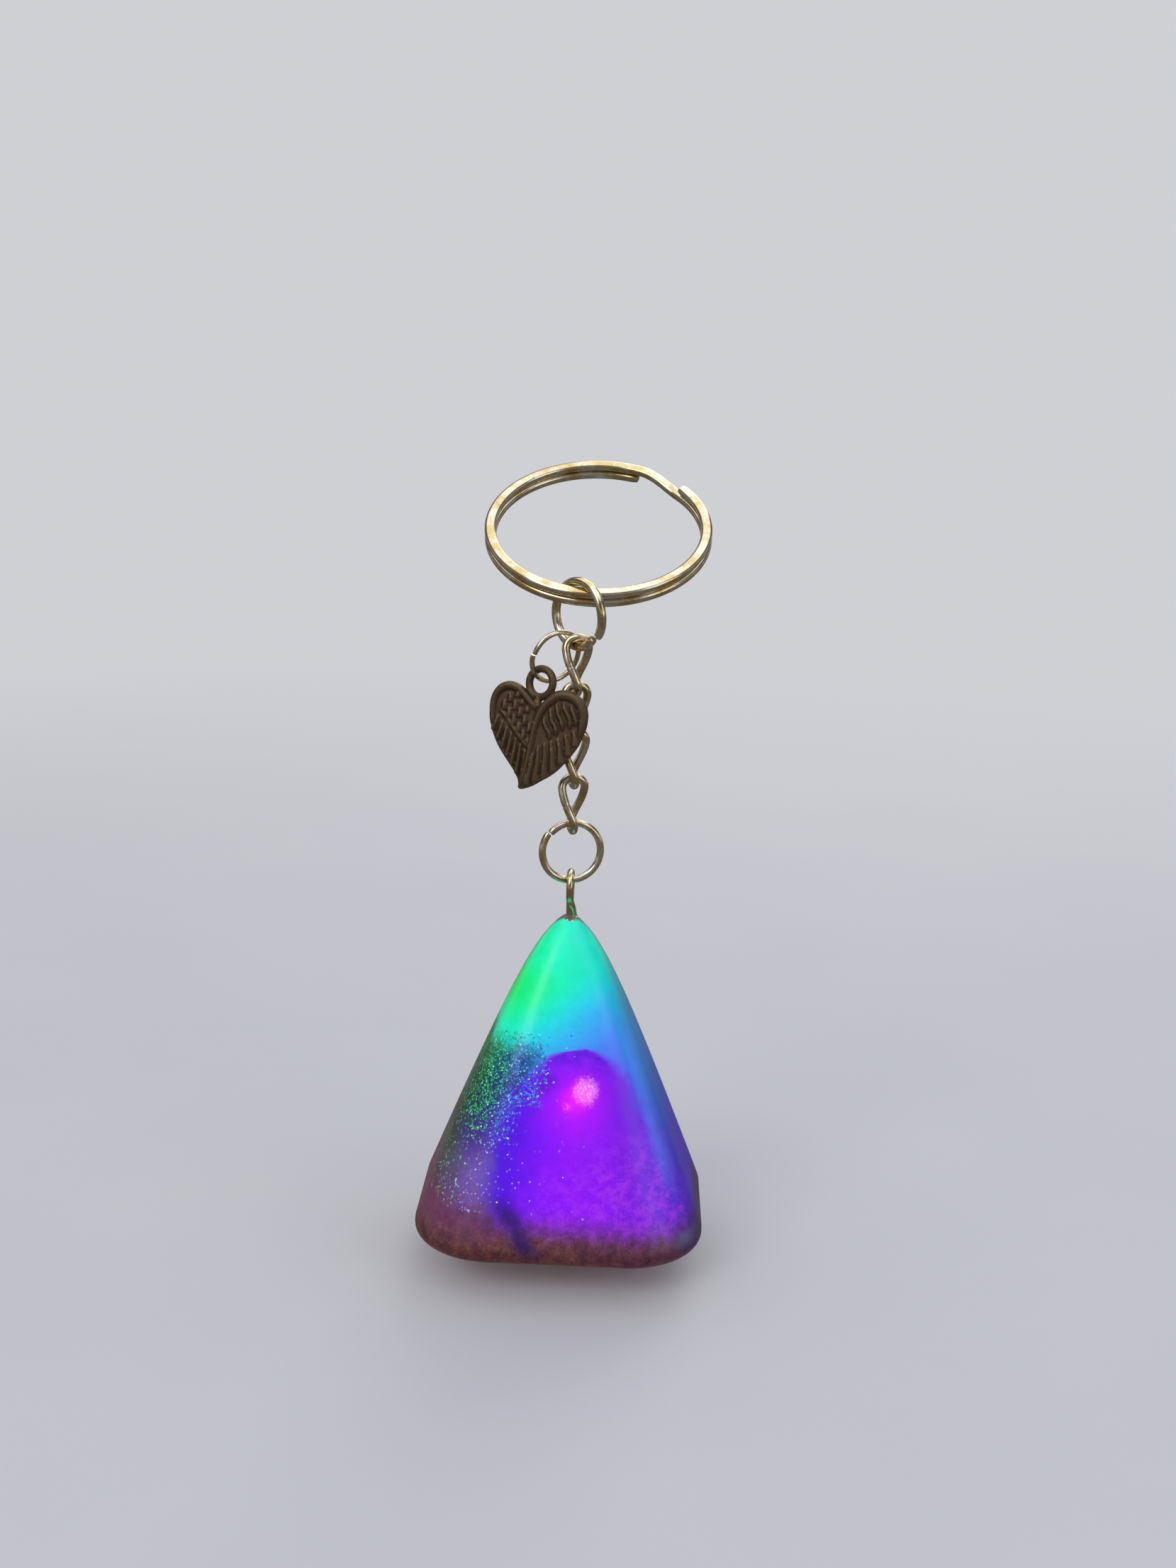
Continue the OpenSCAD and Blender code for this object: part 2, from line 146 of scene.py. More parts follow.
def add_object(name, verts, faces, matrix=None, shade=True):
    """Mesh object from points in millimetres."""
    mesh = bpy.data.meshes.new(name)
    if matrix is not None:
        verts = [matrix @ Vector(v) for v in verts]
    mesh.from_pydata([tuple(c * MM for c in v) for v in verts], [], faces)
    mesh.validate()
    bm = bmesh.new()
    bm.from_mesh(mesh)
    bmesh.ops.remove_doubles(bm, verts=bm.verts, dist=1e-7)
    bmesh.ops.recalc_face_normals(bm, faces=bm.faces)
    bm.to_mesh(mesh)
    bm.free()
    for p in mesh.polygons:
        p.use_smooth = shade
    mesh.set_sharp_from_angle(angle=math.radians(50))
    obj = bpy.data.objects.new(name, mesh)
    bpy.context.scene.collection.objects.link(obj)
    return obj


def bridge(i, j, m):
    """Quads between ring i and ring j, of m points each."""
    return [(i * m + k, i * m + (k + 1) % m, j * m + (k + 1) % m, j * m + k) for k in range(m)]


def sweep(path, normal_at, section, closed=False):
    """Skin a section along a path. section(i) lists (along normal, along binormal) offsets."""
    n = len(path)
    m = len(section(0))
    verts, faces = [], []
    for i, p in enumerate(path):
        q = path[(i + 1) % n] if closed or i + 1 < n else path[i]
        o = path[i - 1] if closed or i else path[i]
        t = (q - o).normalized()
        nn = normal_at(i)
        nn = (nn - nn.dot(t) * t).normalized()
        bb = t.cross(nn)
        verts += [p + nn * a + bb * b for a, b in section(i)]
    for i in range(n if closed else n - 1):
        faces += bridge(i, (i + 1) % n, m)
    if not closed:
        faces.append(tuple(reversed(range(m))))
        faces.append(tuple((n - 1) * m + k for k in range(m)))
    return verts, faces


def circle(r, m):
    return [(r * math.cos(2 * math.pi * k / m), r * math.sin(2 * math.pi * k / m)) for k in range(m)]


def squircle(w, h, power, m):
    """Rounded rectangle section, full width w along the normal and full height h along the binormal."""
    out = []
    for k in range(m):
        a = 2 * math.pi * k / m
        c, s = math.cos(a), math.sin(a)
        out.append((w / 2 * math.copysign(abs(c) ** power, c), h / 2 * math.copysign(abs(s) ** power, s)))
    return out


def cut_end(i, n, r, bevel=0.12, lead=3):
    """Wire radius near a cut end: full until the last rings, which draw in."""
    d = min(i, n - 1 - i)
    return r * (1 - bevel * (1 - d / lead) ** 2) if d < lead else r


# ---------------------------------------------------------------- node graphs
class Graph:
    """The nodes of a material or a world, and short ways to add to them."""

    def __init__(self, owner):
        owner.use_nodes = True
        self.owner = owner
        self.tree = owner.node_tree
        self.tree.nodes.clear()

    def add(self, kind, inputs=None, **props):
        node = self.tree.nodes.new(kind)
        for k, v in props.items():
            setattr(node, k, v)
        for k, v in (inputs or {}).items():
            self.feed(node.inputs[k], v)
        return node

    def feed(self, socket, value):
        if isinstance(value, bpy.types.NodeSocket):
            self.tree.links.new(value, socket)
        elif value is not None:
            socket.default_value = value

    def math(self, op, a, b=None):
        node = self.add("ShaderNodeMath", {0: a}, operation=op)
        self.feed(node.inputs[1], b)
        return node.outputs[0]

    def mul(self, a, b):
        return self.math("MULTIPLY", a, b)

    def plus(self, a, b):
        return self.math("ADD", a, b)

    def minus(self, a, b):
        return self.math("SUBTRACT", a, b)

    def distance(self, a, b):
        return self.math("SQRT", self.plus(self.math("POWER", a, 2.0), self.math("POWER", b, 2.0)))

    def near(self, x, centre, far, close):
        """1 within close of the centre, 0 beyond far."""
        return self.step(self.math("ABSOLUTE", self.minus(x, centre)), far, close)

    def vec(self, op, a, b=None):
        node = self.add("ShaderNodeVectorMath", {0: a}, operation=op)
        if b is not None:
            self.feed(node.inputs[3 if op == "SCALE" else 1], b)
        return node.outputs[0]

    def mix(self, fac, a, b):
        node = self.add("ShaderNodeMix", data_type="RGBA")
        self.feed(node.inputs[0], fac)
        self.feed(node.inputs[6], a)
        self.feed(node.inputs[7], b)
        return node.outputs[2]

    def blend(self, fac, a, b):
        node = self.add("ShaderNodeMix", data_type="FLOAT")
        self.feed(node.inputs[0], fac)
        self.feed(node.inputs[2], a)
        self.feed(node.inputs[3], b)
        return node.outputs[0]

    def step(self, x, lo, hi):
        """0 below lo, 1 above hi, smooth between. lo may be above hi."""
        node = self.add("ShaderNodeMapRange", {0: x, 1: lo, 2: hi, 3: 0.0, 4: 1.0},
                        interpolation_type="SMOOTHSTEP")
        return node.outputs[0]

    def remap(self, x, lo, hi, to_lo, to_hi):
        node = self.add("ShaderNodeMapRange", {0: x, 1: lo, 2: hi, 3: to_lo, 4: to_hi})
        return node.outputs[0]

    def ramp(self, x, lo, hi, stops):
        """Colour ramp over x from lo to hi; stops are (x, colour)."""
        node = self.add("ShaderNodeValToRGB", {0: self.remap(x, lo, hi, 0.0, 1.0)})
        el = node.color_ramp.elements
        stops = sorted(stops, key=lambda s: s[0])
        for i, (at, colour) in enumerate(stops):
            t = (at - lo) / (hi - lo)
            e = el[i] if i < 2 else el.new(t)
            e.position = t
            e.color = colour
        return node.outputs[0]

    def curve(self, x, lo, hi, v_lo, v_hi, points):
        """Value curve over x; points are (x, value)."""
        node = self.add("ShaderNodeFloatCurve", {1: self.remap(x, lo, hi, 0.0, 1.0)})
        c = node.mapping.curves[0]
        pts = [((a - lo) / (hi - lo), (b - v_lo) / (v_hi - v_lo)) for a, b in points]
        c.points[0].location, c.points[-1].location = pts[0], pts[-1]
        for p in pts[1:-1]:
            c.points.new(*p)
        node.mapping.update()
        return self.remap(node.outputs[0], 0.0, 1.0, v_lo, v_hi)

    def noise(self, vector, scale, detail=2.0, rough=0.5, distortion=0.0):
        node = self.add("ShaderNodeTexNoise", {"Vector": vector, "Scale": scale, "Detail": detail,
                                               "Roughness": rough, "Distortion": distortion})
        return node.outputs[0]

    def voronoi(self, vector, scale):
        node = self.add("ShaderNodeTexVoronoi", {"Vector": vector, "Scale": scale}, feature="F1")
        return node.outputs["Distance"]

    def place_mm(self):
        co = self.add("ShaderNodeTexCoord").outputs["Object"]
        return self.vec("SCALE", co, 1.0 / MM)

    def split(self, v):
        node = self.add("ShaderNodeSeparateXYZ", {0: v})
        return node.outputs[0], node.outputs[1], node.outputs[2]

    def bump(self, height, strength, distance):
        node = self.add("ShaderNodeBump", {"Height": height, "Strength": strength, "Distance": distance})
        return node.outputs[0]

    def output(self, shader, kind="ShaderNodeOutputMaterial"):
        self.add(kind, {"Surface": shader})
        return self.owner


def new_material(name):
    return Graph(bpy.data.materials.new(name))


# ---------------------------------------------------------------- metals
def plated_metal(name, light, warm, dark, rough):
    """Plated wire: colour drifts between light and warm, tarnish in blotches, fine scratches."""
    g = new_material(name)
    pos = g.place_mm()
    drift = g.noise(pos, 0.35, 3.0, 0.6)
    blotch = g.noise(pos, 1.3, 5.0, 0.65)
    speck = g.noise(pos, 7.0, 4.0, 0.7)
    hair = g.noise(g.vec("MULTIPLY", pos, Vector((26.0, 5.0, 7.0))), 1.0, 4.0, 0.6)
    colour = g.mix(g.step(drift, 0.38, 0.62), light, warm)
    colour = g.mix(g.mul(g.step(blotch, 0.54, 0.76), 0.5), colour, dark)
    colour = g.mix(g.mul(g.step(speck, 0.62, 0.75), 0.15), colour, dark)
    roughness = g.plus(g.blend(blotch, rough - 0.06, rough + 0.14),
                       g.mul(g.step(hair, 0.55, 0.8), 0.1))
    height = g.plus(g.mul(hair, 0.35), g.mul(speck, 0.65))
    shader = g.add("ShaderNodeBsdfPrincipled", {
        "Base Color": colour, "Metallic": 1.0, "Roughness": roughness,
        "Normal": g.bump(height, 0.08, 0.00003)}).outputs[0]
    return g.output(shader)


def antique_bronze(name):
    """Cast antique bronze: brown patina, worn yellow edges, dark recesses, pitted skin."""
    g = new_material(name)
    pos = g.place_mm()
    edge = g.add("ShaderNodeNewGeometry").outputs["Pointiness"]
    cast = g.noise(pos, 2.2, 5.0, 0.6)
    pit = g.noise(pos, 8.0, 4.0, 0.65)
    tone = g.plus(edge, g.mul(g.minus(cast, 0.5), 0.06))
    colour = g.ramp(tone, 0.4, 0.62, [
        (0.40, rgb(24, 16, 13)), (0.46, rgb(58, 43, 34)), (0.495, rgb(92, 72, 55)),
        (0.53, rgb(104, 86, 60)), (0.57, rgb(118, 100, 66)), (0.62, rgb(132, 116, 76))])
    colour = g.mix(g.mul(g.step(pit, 0.56, 0.72), 0.25), colour, rgb(40, 30, 26))
    roughness = g.blend(cast, 0.4, 0.56)
    height = g.plus(g.mul(cast, 0.6), g.mul(pit, 0.4))
    shader = g.add("ShaderNodeBsdfPrincipled", {
        "Base Color": colour, "Metallic": 0.75, "Roughness": roughness,
        "Normal": g.bump(height, 0.25, 0.00008)}).outputs[0]
    return g.output(shader)


# ---------------------------------------------------------------- resin
def resin_place(g):
    """Where a point lies in the pyramid. s and t run from -1 to 1 across its width and depth; the s and
    zz of the colour borders waver with the noise, s0 and z don't."""
    pos = g.place_mm()
    x, y, z = g.split(pos)
    depth = g.math("MAXIMUM", g.minus(PYRAMID_H, z), 0.001)
    run = g.math("POWER", g.math("DIVIDE", depth, SHOULDER_RUN), SHOULDER_POWER)
    fade = g.math("EXPONENT", g.mul(run, -1.0))
    half = g.plus(g.mul(depth, SIDE_SLOPE), g.mul(g.minus(1.0, fade), TIP_SHOULDER))
    s0 = g.math("DIVIDE", x, half)
    t0 = g.math("DIVIDE", y, half)
    big = g.minus(g.noise(pos, 0.22, 3.0, 0.55), 0.5)
    mid = g.minus(g.noise(pos, 0.75, 4.0, 0.6), 0.5)
    fine = g.minus(g.noise(pos, 3.5, 3.0, 0.6), 0.5)
    s = g.plus(s0, g.plus(g.mul(big, 0.22), g.mul(mid, 0.10)))
    zz = g.plus(z, g.plus(g.mul(big, 3.0), g.mul(mid, 1.6)))
    return SimpleNamespace(pos=pos, x=x, z=z, s0=s0, t0=t0, s=s, zz=zz, mid=mid, fine=fine)


def tip_colour(g, p):
    """Green at the left through aqua and sky blue to the right, bluer further down."""
    k = g.plus(g.mul(p.s, 0.8), g.mul(g.minus(30.4, p.z), 0.12))
    tip = g.ramp(k, -1.5, 1.5, [
        (-1.4, rgb(0, 236, 120)), (-0.95, rgb(0, 236, 84)), (-0.55, rgb(6, 244, 150)),
        (-0.2, rgb(12, 236, 200)), (0.15, rgb(30, 212, 232)), (0.5, rgb(48, 176, 242)),
        (0.9, rgb(66, 134, 244)), (1.4, rgb(84, 84, 240))])
    crown = g.ramp(p.s, -1.0, 1.0, [
        (-1.0, rgb(0, 246, 150)), (-0.2, rgb(4, 246, 196)), (0.9, rgb(10, 216, 196))])
    return g.mix(g.step(p.z, 30.0, 36.5), tip, crown)


def add_right_flank(g, p, colour):
    """Teal, then blue, then indigo towards the foot."""
    flank = g.ramp(p.zz, 0.0, 41.0, [
        (3.0, rgb(46, 4, 176)), (8.0, rgb(56, 26, 212)), (13.0, rgb(46, 66, 212)),
        (18.0, rgb(38, 96, 210)), (24.0, rgb(32, 128, 212)), (28.0, rgb(20, 144, 200)),
        (33.0, rgb(10, 186, 192)), (38.0, rgb(5, 226, 182))])
    return g.mix(g.step(p.s, 0.6, 0.92), colour, flank)


def add_left_flank(g, p, colour):
    """Dark green, then grey-green; blue-lilac nearer the dome."""
    outer = g.ramp(p.zz, 0.0, 41.0, [
        (4.0, rgb(86, 50, 54)), (8.0, rgb(76, 54, 70)), (11.0, rgb(60, 70, 60)), (14.3, rgb(40, 52, 48)),
        (18.0, rgb(14, 50, 42)), (21.0, rgb(6, 66, 46)), (24.4, rgb(4, 96, 50)), (27.0, rgb(2, 180, 84)),
        (29.5, rgb(0, 226, 104))])
    inner = g.ramp(p.zz, 0.0, 41.0, [
        (4.5, rgb(100, 54, 96)), (7.6, rgb(108, 72, 148)), (11.0, rgb(110, 78, 174)),
        (14.3, rgb(76, 44, 150)), (17.7, rgb(44, 40, 130)), (21.0, rgb(14, 54, 116)),
        (24.4, rgb(16, 70, 132)), (26.4, rgb(14, 140, 140)), (28.0, rgb(10, 212, 160))])
    left = g.mix(g.step(p.s, -0.98, -0.66), outer, inner)
    left_on = g.mul(g.step(p.s, -0.1, -0.5), g.step(p.zz, 27.8, 24.6))
    return g.mix(left_on, colour, left)


def add_dome(g, p, colour):
    """Violet dome: indigo at its cap and its left, magenta veins low at the right."""
    edge_l = g.curve(p.z, 0.0, 30.0, -1.0, 1.0, [
        (0.0, -0.56), (5.0, -0.57), (9.0, -0.59), (14.0, -0.67), (17.7, -0.67), (20.5, -0.6), (22.4, -0.47),
        (24.3, -0.32), (25.4, -0.12), (26.1, 0.25), (30.0, 0.6)])
    edge_r = g.curve(p.z, 0.0, 30.0, -1.0, 1.2, [
        (0.0, 1.02), (8.8, 0.97), (13.5, 0.95), (17.0, 0.90), (21.5, 0.80), (24.4, 0.66), (25.6, 0.5),
        (26.4, 0.25), (30.0, 0.1)])
    dome_on = g.mul(g.step(g.minus(p.s, edge_l), -0.04, 0.16), g.step(g.minus(edge_r, p.s), -0.05, 0.14))
    violet = g.ramp(p.s, -0.7, 1.0, [
        (-0.62, rgb(66, 14, 204)), (-0.4, rgb(88, 2, 230)), (-0.12, rgb(132, 0, 250)),
        (0.12, rgb(144, 0, 250)), (0.36, rgb(138, 6, 243)), (0.62, rgb(114, 16, 222)),
        (0.92, rgb(84, 26, 210))])
    cap = g.mul(g.step(p.z, 21.5, 25.5), 0.75)
    violet = g.mix(cap, violet, g.mix(g.step(p.mid, -0.1, 0.12), rgb(78, 14, 214), rgb(116, 22, 228)))
    low_right = g.mul(g.step(g.plus(p.s, g.mul(p.z, -0.05)), -0.95, 0.05),
                      g.step(g.plus(p.mid, g.mul(p.fine, 0.6)), -0.12, 0.16))
    low_right = g.mul(low_right, g.step(p.z, 19.0, 10.0))
    violet = g.mix(g.mul(low_right, 0.6), violet, rgb(164, 50, 220))
    dark = g.mul(g.near(p.s, -0.16, 0.16, 0.03), g.near(p.z, 21.6, 2.0, 0.3))
    violet = g.mix(g.mul(dark, 0.55), violet, rgb(52, 0, 168))
    return g.mix(dome_on, colour, violet)


def add_ridge_highlight(g, p, colour):
    """Painted highlight along the right front edge, where its rounding catches the light."""
    # painted highlight: a lighter band where the rounded right front edge catches the light
    ridge = g.mul(g.near(p.s0, 0.86, 0.1, 0.0), g.step(p.z, 31.0, 26.0))
    ridge = g.mul(ridge, g.step(p.z, 6.0, 14.0))
    return g.mix(g.mul(ridge, 0.4), colour, rgb(88, 136, 240))


def add_foot(g, p, colour):
    """Bronze foot with a ragged upper edge, painted shade in its right corner and a dark indigo streak."""
    rise = g.curve(p.s0, -1.0, 1.0, -3.0, 3.0, [
        (-1.0, -2.0), (-0.6, -0.9), (0.0, 0.0), (0.6, 0.5), (1.0, 1.6)])
    foot_z = g.plus(g.plus(p.z, rise), g.plus(g.mul(p.mid, 3.0), p.fine))
    foot = g.step(foot_z, 7.4, 2.9)
    earth = g.ramp(g.plus(p.mid, g.mul(p.fine, 0.8)), -0.4, 0.4, [
        (-0.35, rgb(52, 24, 40)), (-0.08, rgb(88, 46, 56)),
        (0.12, rgb(108, 62, 58)), (0.35, rgb(130, 84, 66))])
    earth = g.mix(g.mul(g.step(p.z, 1.6, 5.0), 0.55), earth, rgb(100, 42, 96))
    earth = g.mix(g.mul(g.step(p.s0, -0.2, 0.7), 0.35), earth, rgb(84, 38, 84))
    colour = g.mix(foot, colour, earth)
    # painted shade: the lower right corner, which faces away from the light, turns dark indigo
    corner = g.mul(g.step(p.s0, 0.72, 0.95), g.step(p.z, 7.0, 2.5))
    colour = g.mix(g.mul(corner, 0.7), colour, rgb(44, 22, 104))
    spot = g.mul(g.near(p.s0, 0.88, 0.12, 0.02), g.near(p.z, 2.6, 1.4, 0.2))
    colour = g.mix(g.mul(spot, 0.45), colour, rgb(92, 104, 140))
    streak_x = g.plus(-5.3, g.mul(g.minus(5.0, p.z), 0.56))
    streak = g.mul(g.near(p.x, g.plus(streak_x, p.mid), 2.4, 0.2),
                   g.mul(g.step(p.z, 9.5, 6.0), g.step(p.z, 0.6, 2.6)))
    return g.mix(g.mul(streak, 0.75), colour, rgb(34, 4, 96))


def add_painted_hot_spot(g, p, colour):
    """Painted hot spot, the lamp's reflection on the dome's front: magenta haloes, a grainy pink core and a
    small satellite.
    """
    front = g.step(p.t0, -0.2, -0.6)
    grain = g.blend(g.step(g.voronoi(p.pos, 3.2), 0.55, 0.15), 0.35, 1.0)
    for cx, cz, r_in, r_out, share, hue in (
            (2.0, 19.2, 0.2, 6.0, 0.75, rgb(186, 0, 255)), (1.5, 19.7, 0.2, 2.6, 0.75, rgb(236, 0, 250)),
            (2.7, 20.8, 0.4, 2.6, 0.9, rgb(255, 24, 246)), (3.1, 21.0, 0.9, 1.9, grain, rgb(255, 170, 248)),
            (0.9, 19.1, 0.1, 0.7, 0.9, rgb(255, 70, 240))):
        d = g.distance(g.minus(p.x, cx), g.minus(p.z, cz))
        d = g.plus(d, g.plus(g.mul(p.fine, 2.0), p.mid))
        # painted hot spot: the lamp's reflection, only on the front face
        glow = g.mul(g.step(d, r_out, r_in), front)
        colour = g.mix(g.mul(glow, share), colour, hue)
    return colour


def resin_light(g):
    """Colour and strength of the glow at a point in the resin."""
    p = resin_place(g)
    colour = tip_colour(g, p)
    for layer in (add_right_flank, add_left_flank, add_dome, add_ridge_highlight, add_foot, add_painted_hot_spot):
        colour = layer(g, p, colour)
    shade = g.plus(0.98, g.plus(g.mul(p.mid, 0.3), g.mul(p.fine, 0.3)))
    # painted shade: the glow dims towards the right edge and towards the base
    shade = g.mul(shade, g.blend(g.step(p.s0, 0.8, 1.04), 1.0, 0.42))
    shade = g.mul(shade, g.blend(g.step(p.z, 4.2, 0.6), 1.0, 0.55))
    return p.pos, colour, shade


def glowing_resin(name):
    """Cloudy resin that glows in its own colour, with a faint satin skin."""
    g = new_material(name)
    pos, colour, shade = resin_light(g)
    cloud = g.noise(pos, 1.2, 4.0, 0.6)
    # painted shade: the glow dims towards the outline, where the surface turns away from the camera
    facing = g.add("ShaderNodeLayerWeight", {"Blend": 0.35}).outputs["Facing"]
    rim = g.blend(g.math("POWER", facing, 2.0), 1.0, 0.7)
    power = g.mul(shade, rim)
    shader = g.add("ShaderNodeBsdfPrincipled", {
        "Base Color": g.mix(0.93, colour, rgb(0, 0, 0)), "Roughness": g.blend(cloud, 0.4, 0.6),
        "Specular IOR Level": 0.06, "Emission Color": colour, "Emission Strength": power,
        "Normal": g.bump(cloud, 0.15, 0.0001)}).outputs[0]
    return g.output(shader)


def clear_coat(name):
    """Clear resin skin: light bends into it and reaches the pours, a satin surface reflects the room.
    Its inner skin touches the pours, so it lets rays straight through."""
    g = new_material(name)
    pos = g.place_mm()
    wave = g.noise(pos, 0.4, 2.0, 0.5)
    dust = g.noise(pos, 10.0, 3.0, 0.6)
    normal = g.bump(g.plus(g.mul(wave, 0.9), g.mul(dust, 0.1)), 0.2, 0.0002)
    glass = g.add("ShaderNodeBsdfPrincipled", {
        "Base Color": rgb(250, 250, 255), "Roughness": g.blend(dust, 0.24, 0.36), "IOR": 1.42,
        "Specular IOR Level": 0.05, "Transmission Weight": 1.0, "Normal": normal}).outputs[0]
    clear = g.add("ShaderNodeBsdfTransparent", {"Color": (0.99, 0.99, 1.0, 1.0)}).outputs[0]
    through = g.math("MAXIMUM", g.add("ShaderNodeNewGeometry").outputs["Backfacing"],
                     g.add("ShaderNodeLightPath").outputs["Is Shadow Ray"])
    return g.output(g.add("ShaderNodeMixShader", {0: through, 1: glass, 2: clear}).outputs[0])


def glitter(name):
    """Flakes that catch the glow: green and teal high on the left, pale lilac lower down."""
    g = new_material(name)
    pos = g.place_mm()
    x, _, z = g.split(pos)
    pick = g.add("ShaderNodeNewGeometry").outputs["Random Per Island"]
    side = g.step(g.plus(x, g.mul(g.minus(22.0, z), 0.35)), -8.2, -6.4)
    high = g.mix(side, rgb(28, 190, 92), rgb(44, 132, 224))
    low = g.mix(side, rgb(122, 168, 120), rgb(164, 140, 226))
    colour = g.mix(g.step(z, 17.0, 11.0), high, low)
    colour = g.mix(g.mul(g.step(pick, 0.82, 1.0), 0.5), colour, rgb(196, 230, 250))
    power = g.blend(g.math("POWER", pick, 1.4), 0.2, 1.15)
    shader = g.add("ShaderNodeBsdfPrincipled", {
        "Base Color": g.mix(0.7, colour, rgb(0, 0, 0)), "Metallic": 0.3,
        "Roughness": g.blend(pick, 0.25, 0.5),
        "Emission Color": colour, "Emission Strength": power}).outputs[0]
    return g.output(shader)


# ---------------------------------------------------------------- pyramid shapes
def half_w(u):
    return SIDE_SLOPE * u + TIP_SHOULDER * (1 - math.exp(-((max(u, 0.0) / SHOULDER_RUN) ** SHOULDER_POWER)))


def base_cut(z):
    return BASE_ROUND - math.sqrt(BASE_ROUND ** 2 - (BASE_ROUND - z) ** 2) if z < BASE_ROUND else 0.0


def outer_w(z):
    return half_w(PYRAMID_H - z) - base_cut(z)


def inner_w(z):
    return half_w(PYRAMID_H - z - COAT_T) - 0.6 * COAT_T - base_cut(z)


CORNER_N = 14
FLAT_N = 10
TIP_CROWDING = 1.6
OUTER_TIP = PYRAMID_H - 0.05
INNER_TIP = PYRAMID_H - COAT_T - 0.15


def back_share(w, z):
    """The back is flatter than the front by a share that fades out towards the tip."""
    depth = PYRAMID_H - z
    return 1 - (1 - BACK_DEPTH) * (1 - math.exp(-depth / BACK_FADE)) * half_w(depth) / w


def square_ring(w, z):
    """Rounded square outline of half width w at height z, with points along its flats too."""
    r = min(w, EDGE_R_TOP + EDGE_R_GAIN * w)
    s = w - r
    back = back_share(w, z)
    out = []
    for q in range(4):
        corner = Vector((s if q in (0, 3) else -s, s if q < 2 else -s, z))
        turned = Vector((s if q in (3, 2) else -s, s if q in (0, 3) else -s, z))
        arc = []
        for i in range(CORNER_N + 1):
            a = math.radians(90 * q + 90 * i / CORNER_N)
            arc.append(corner + Vector((r * math.cos(a), r * math.sin(a), 0)))
        a = math.radians(90 * (q + 1))
        end = turned + Vector((r * math.cos(a), r * math.sin(a), 0))
        out += arc + [arc[-1].lerp(end, i / FLAT_N) for i in range(1, FLAT_N)]
    for p in out:
        if p.y > 0:
            p.y *= back
    return out


def stack(rings):
    m = len(rings[0])
    verts = [v for ring in rings for v in ring]
    faces = []
    for i in range(len(rings) - 1):
        faces += bridge(i, i + 1, m)
    faces.append(tuple(range(m)))
    faces.append(tuple(reversed(range((len(rings) - 1) * m, len(rings) * m))))
    return verts, faces


def levels(a, b, n, power=1.0):
    return [a + (b - a) * (i / n) ** power for i in range(n + 1)]


def dome_rings(drop):
    edge = square_ring(inner_w(SPLIT_Z) - POUR_GAP, SPLIT_Z)
    return [[Vector((p.x * s, p.y * s, SPLIT_Z + DOME_H * (1 - s * s) - drop)) for p in edge]
            for s in (0.92, 0.85, 0.77, 0.7, 0.62, 0.55, 0.47, 0.4, 0.32, 0.25, 0.17, 0.1, 0.02)]


def ring_at(z):
    return square_ring(inner_w(z) - POUR_GAP, z)


def build_pyramid():
    tip_levels = levels(INNER_TIP, SPLIT_Z, 40, TIP_CROWDING)
    tip = add_object("resin_tip", *stack([ring_at(z) for z in tip_levels] + dome_rings(0.0)))
    mid_levels = levels(SPLIT_Z - POUR_GAP, BRONZE_H + POUR_GAP, 20)
    under_dome = list(reversed(dome_rings(POUR_GAP)))
    middle = add_object("resin_middle", *stack(under_dome + [ring_at(z) for z in mid_levels]))
    foot_levels = levels(BRONZE_H, BASE_ROUND, 3) + levels(BASE_ROUND, 0.35, 8)[1:] + [0.16, 0.05, 0.0]
    foot = add_object("resin_foot", *stack([ring_at(z) for z in foot_levels]))
    return tip, middle, foot


def build_coat():
    low = levels(BASE_ROUND, 0.2, 10)[1:] + [0.05, 0.0]
    rings = [square_ring(outer_w(z), z) for z in levels(OUTER_TIP, BASE_ROUND, 60, TIP_CROWDING) + low]
    rings += [square_ring(inner_w(z), z)
              for z in reversed(levels(INNER_TIP, BASE_ROUND, 60, TIP_CROWDING) + low)]
    m = len(rings[0])
    verts = [v for ring in rings for v in ring]
    # a hole at the tip, where the screw eye goes in, joins the outer and the inner skin
    faces = []
    for i in range(len(rings)):
        faces += bridge(i, (i + 1) % len(rings), m)
    return add_object("clear_skin", verts, faces)


FLAKES = 4200
FLAKE_LOW, FLAKE_HIGH = 6.0, 27.5
FLAKE_R = (0.07, 0.15)
FLAKE_HALF_T = 0.012
FLAKE_SINK = (0.06, 0.26)
FACE_TILT = 0.38


def flake_density(s, z):
    """Share of the flakes kept at s across the face and height z: dense over the upper left flank,
    sparse lower down and at the middle."""
    edge = -0.22 if z > 19 else -0.5
    crowd = smooth((z - 12.5) / 5.0) * smooth((27.2 - z) / 2.5)
    upper = (0.10 + 0.9 * crowd) * smooth((edge + 0.12 - s) / 0.3)
    return upper + 0.22 * smooth((14 - z) / 4) * smooth((-0.5 - s) / 0.2) + 0.012


def flake_spot(rng):
    """Place and outward normal of one flake in the coat, or None where it isn't kept."""
    z = rng.uniform(FLAKE_LOW, FLAKE_HIGH)
    pick = rng.random()
    w = inner_w(z)
    on_left = 0.5 <= pick < 0.75
    if on_left:
        s, across = -1.0, rng.uniform(-0.9, 0.9) * w
    else:
        s = rng.uniform(-1.0, 0.25)
        across = s * w
    if rng.random() > flake_density(s, z):
        return None
    depth = w + rng.uniform(*FLAKE_SINK)
    r = min(w, EDGE_R_TOP + EDGE_R_GAIN * w)
    flat = depth - r
    over = max(abs(across) - flat, 0.0)
    if not on_left and over > 0.97 * r:
        return None
    # past the flat of the face, the flake follows the round of the edge
    a = min(over / r, 0.95) if on_left else over / r
    out = flat + math.sqrt(max(r * r - over * over, 0)) if over else depth
    lean, side = math.sqrt(1 - a * a), math.copysign(a, across)
    if on_left:
        pos, normal = Vector((-out, across, z)), Vector((-lean, side, FACE_TILT))
    else:
        sign = -1 if pick < 0.5 else 1
        pos, normal = Vector((across, sign * out, z)), Vector((side, sign * lean, FACE_TILT))
    if pos.y > 0:
        pos.y *= back_share(depth, z)
    return pos, normal


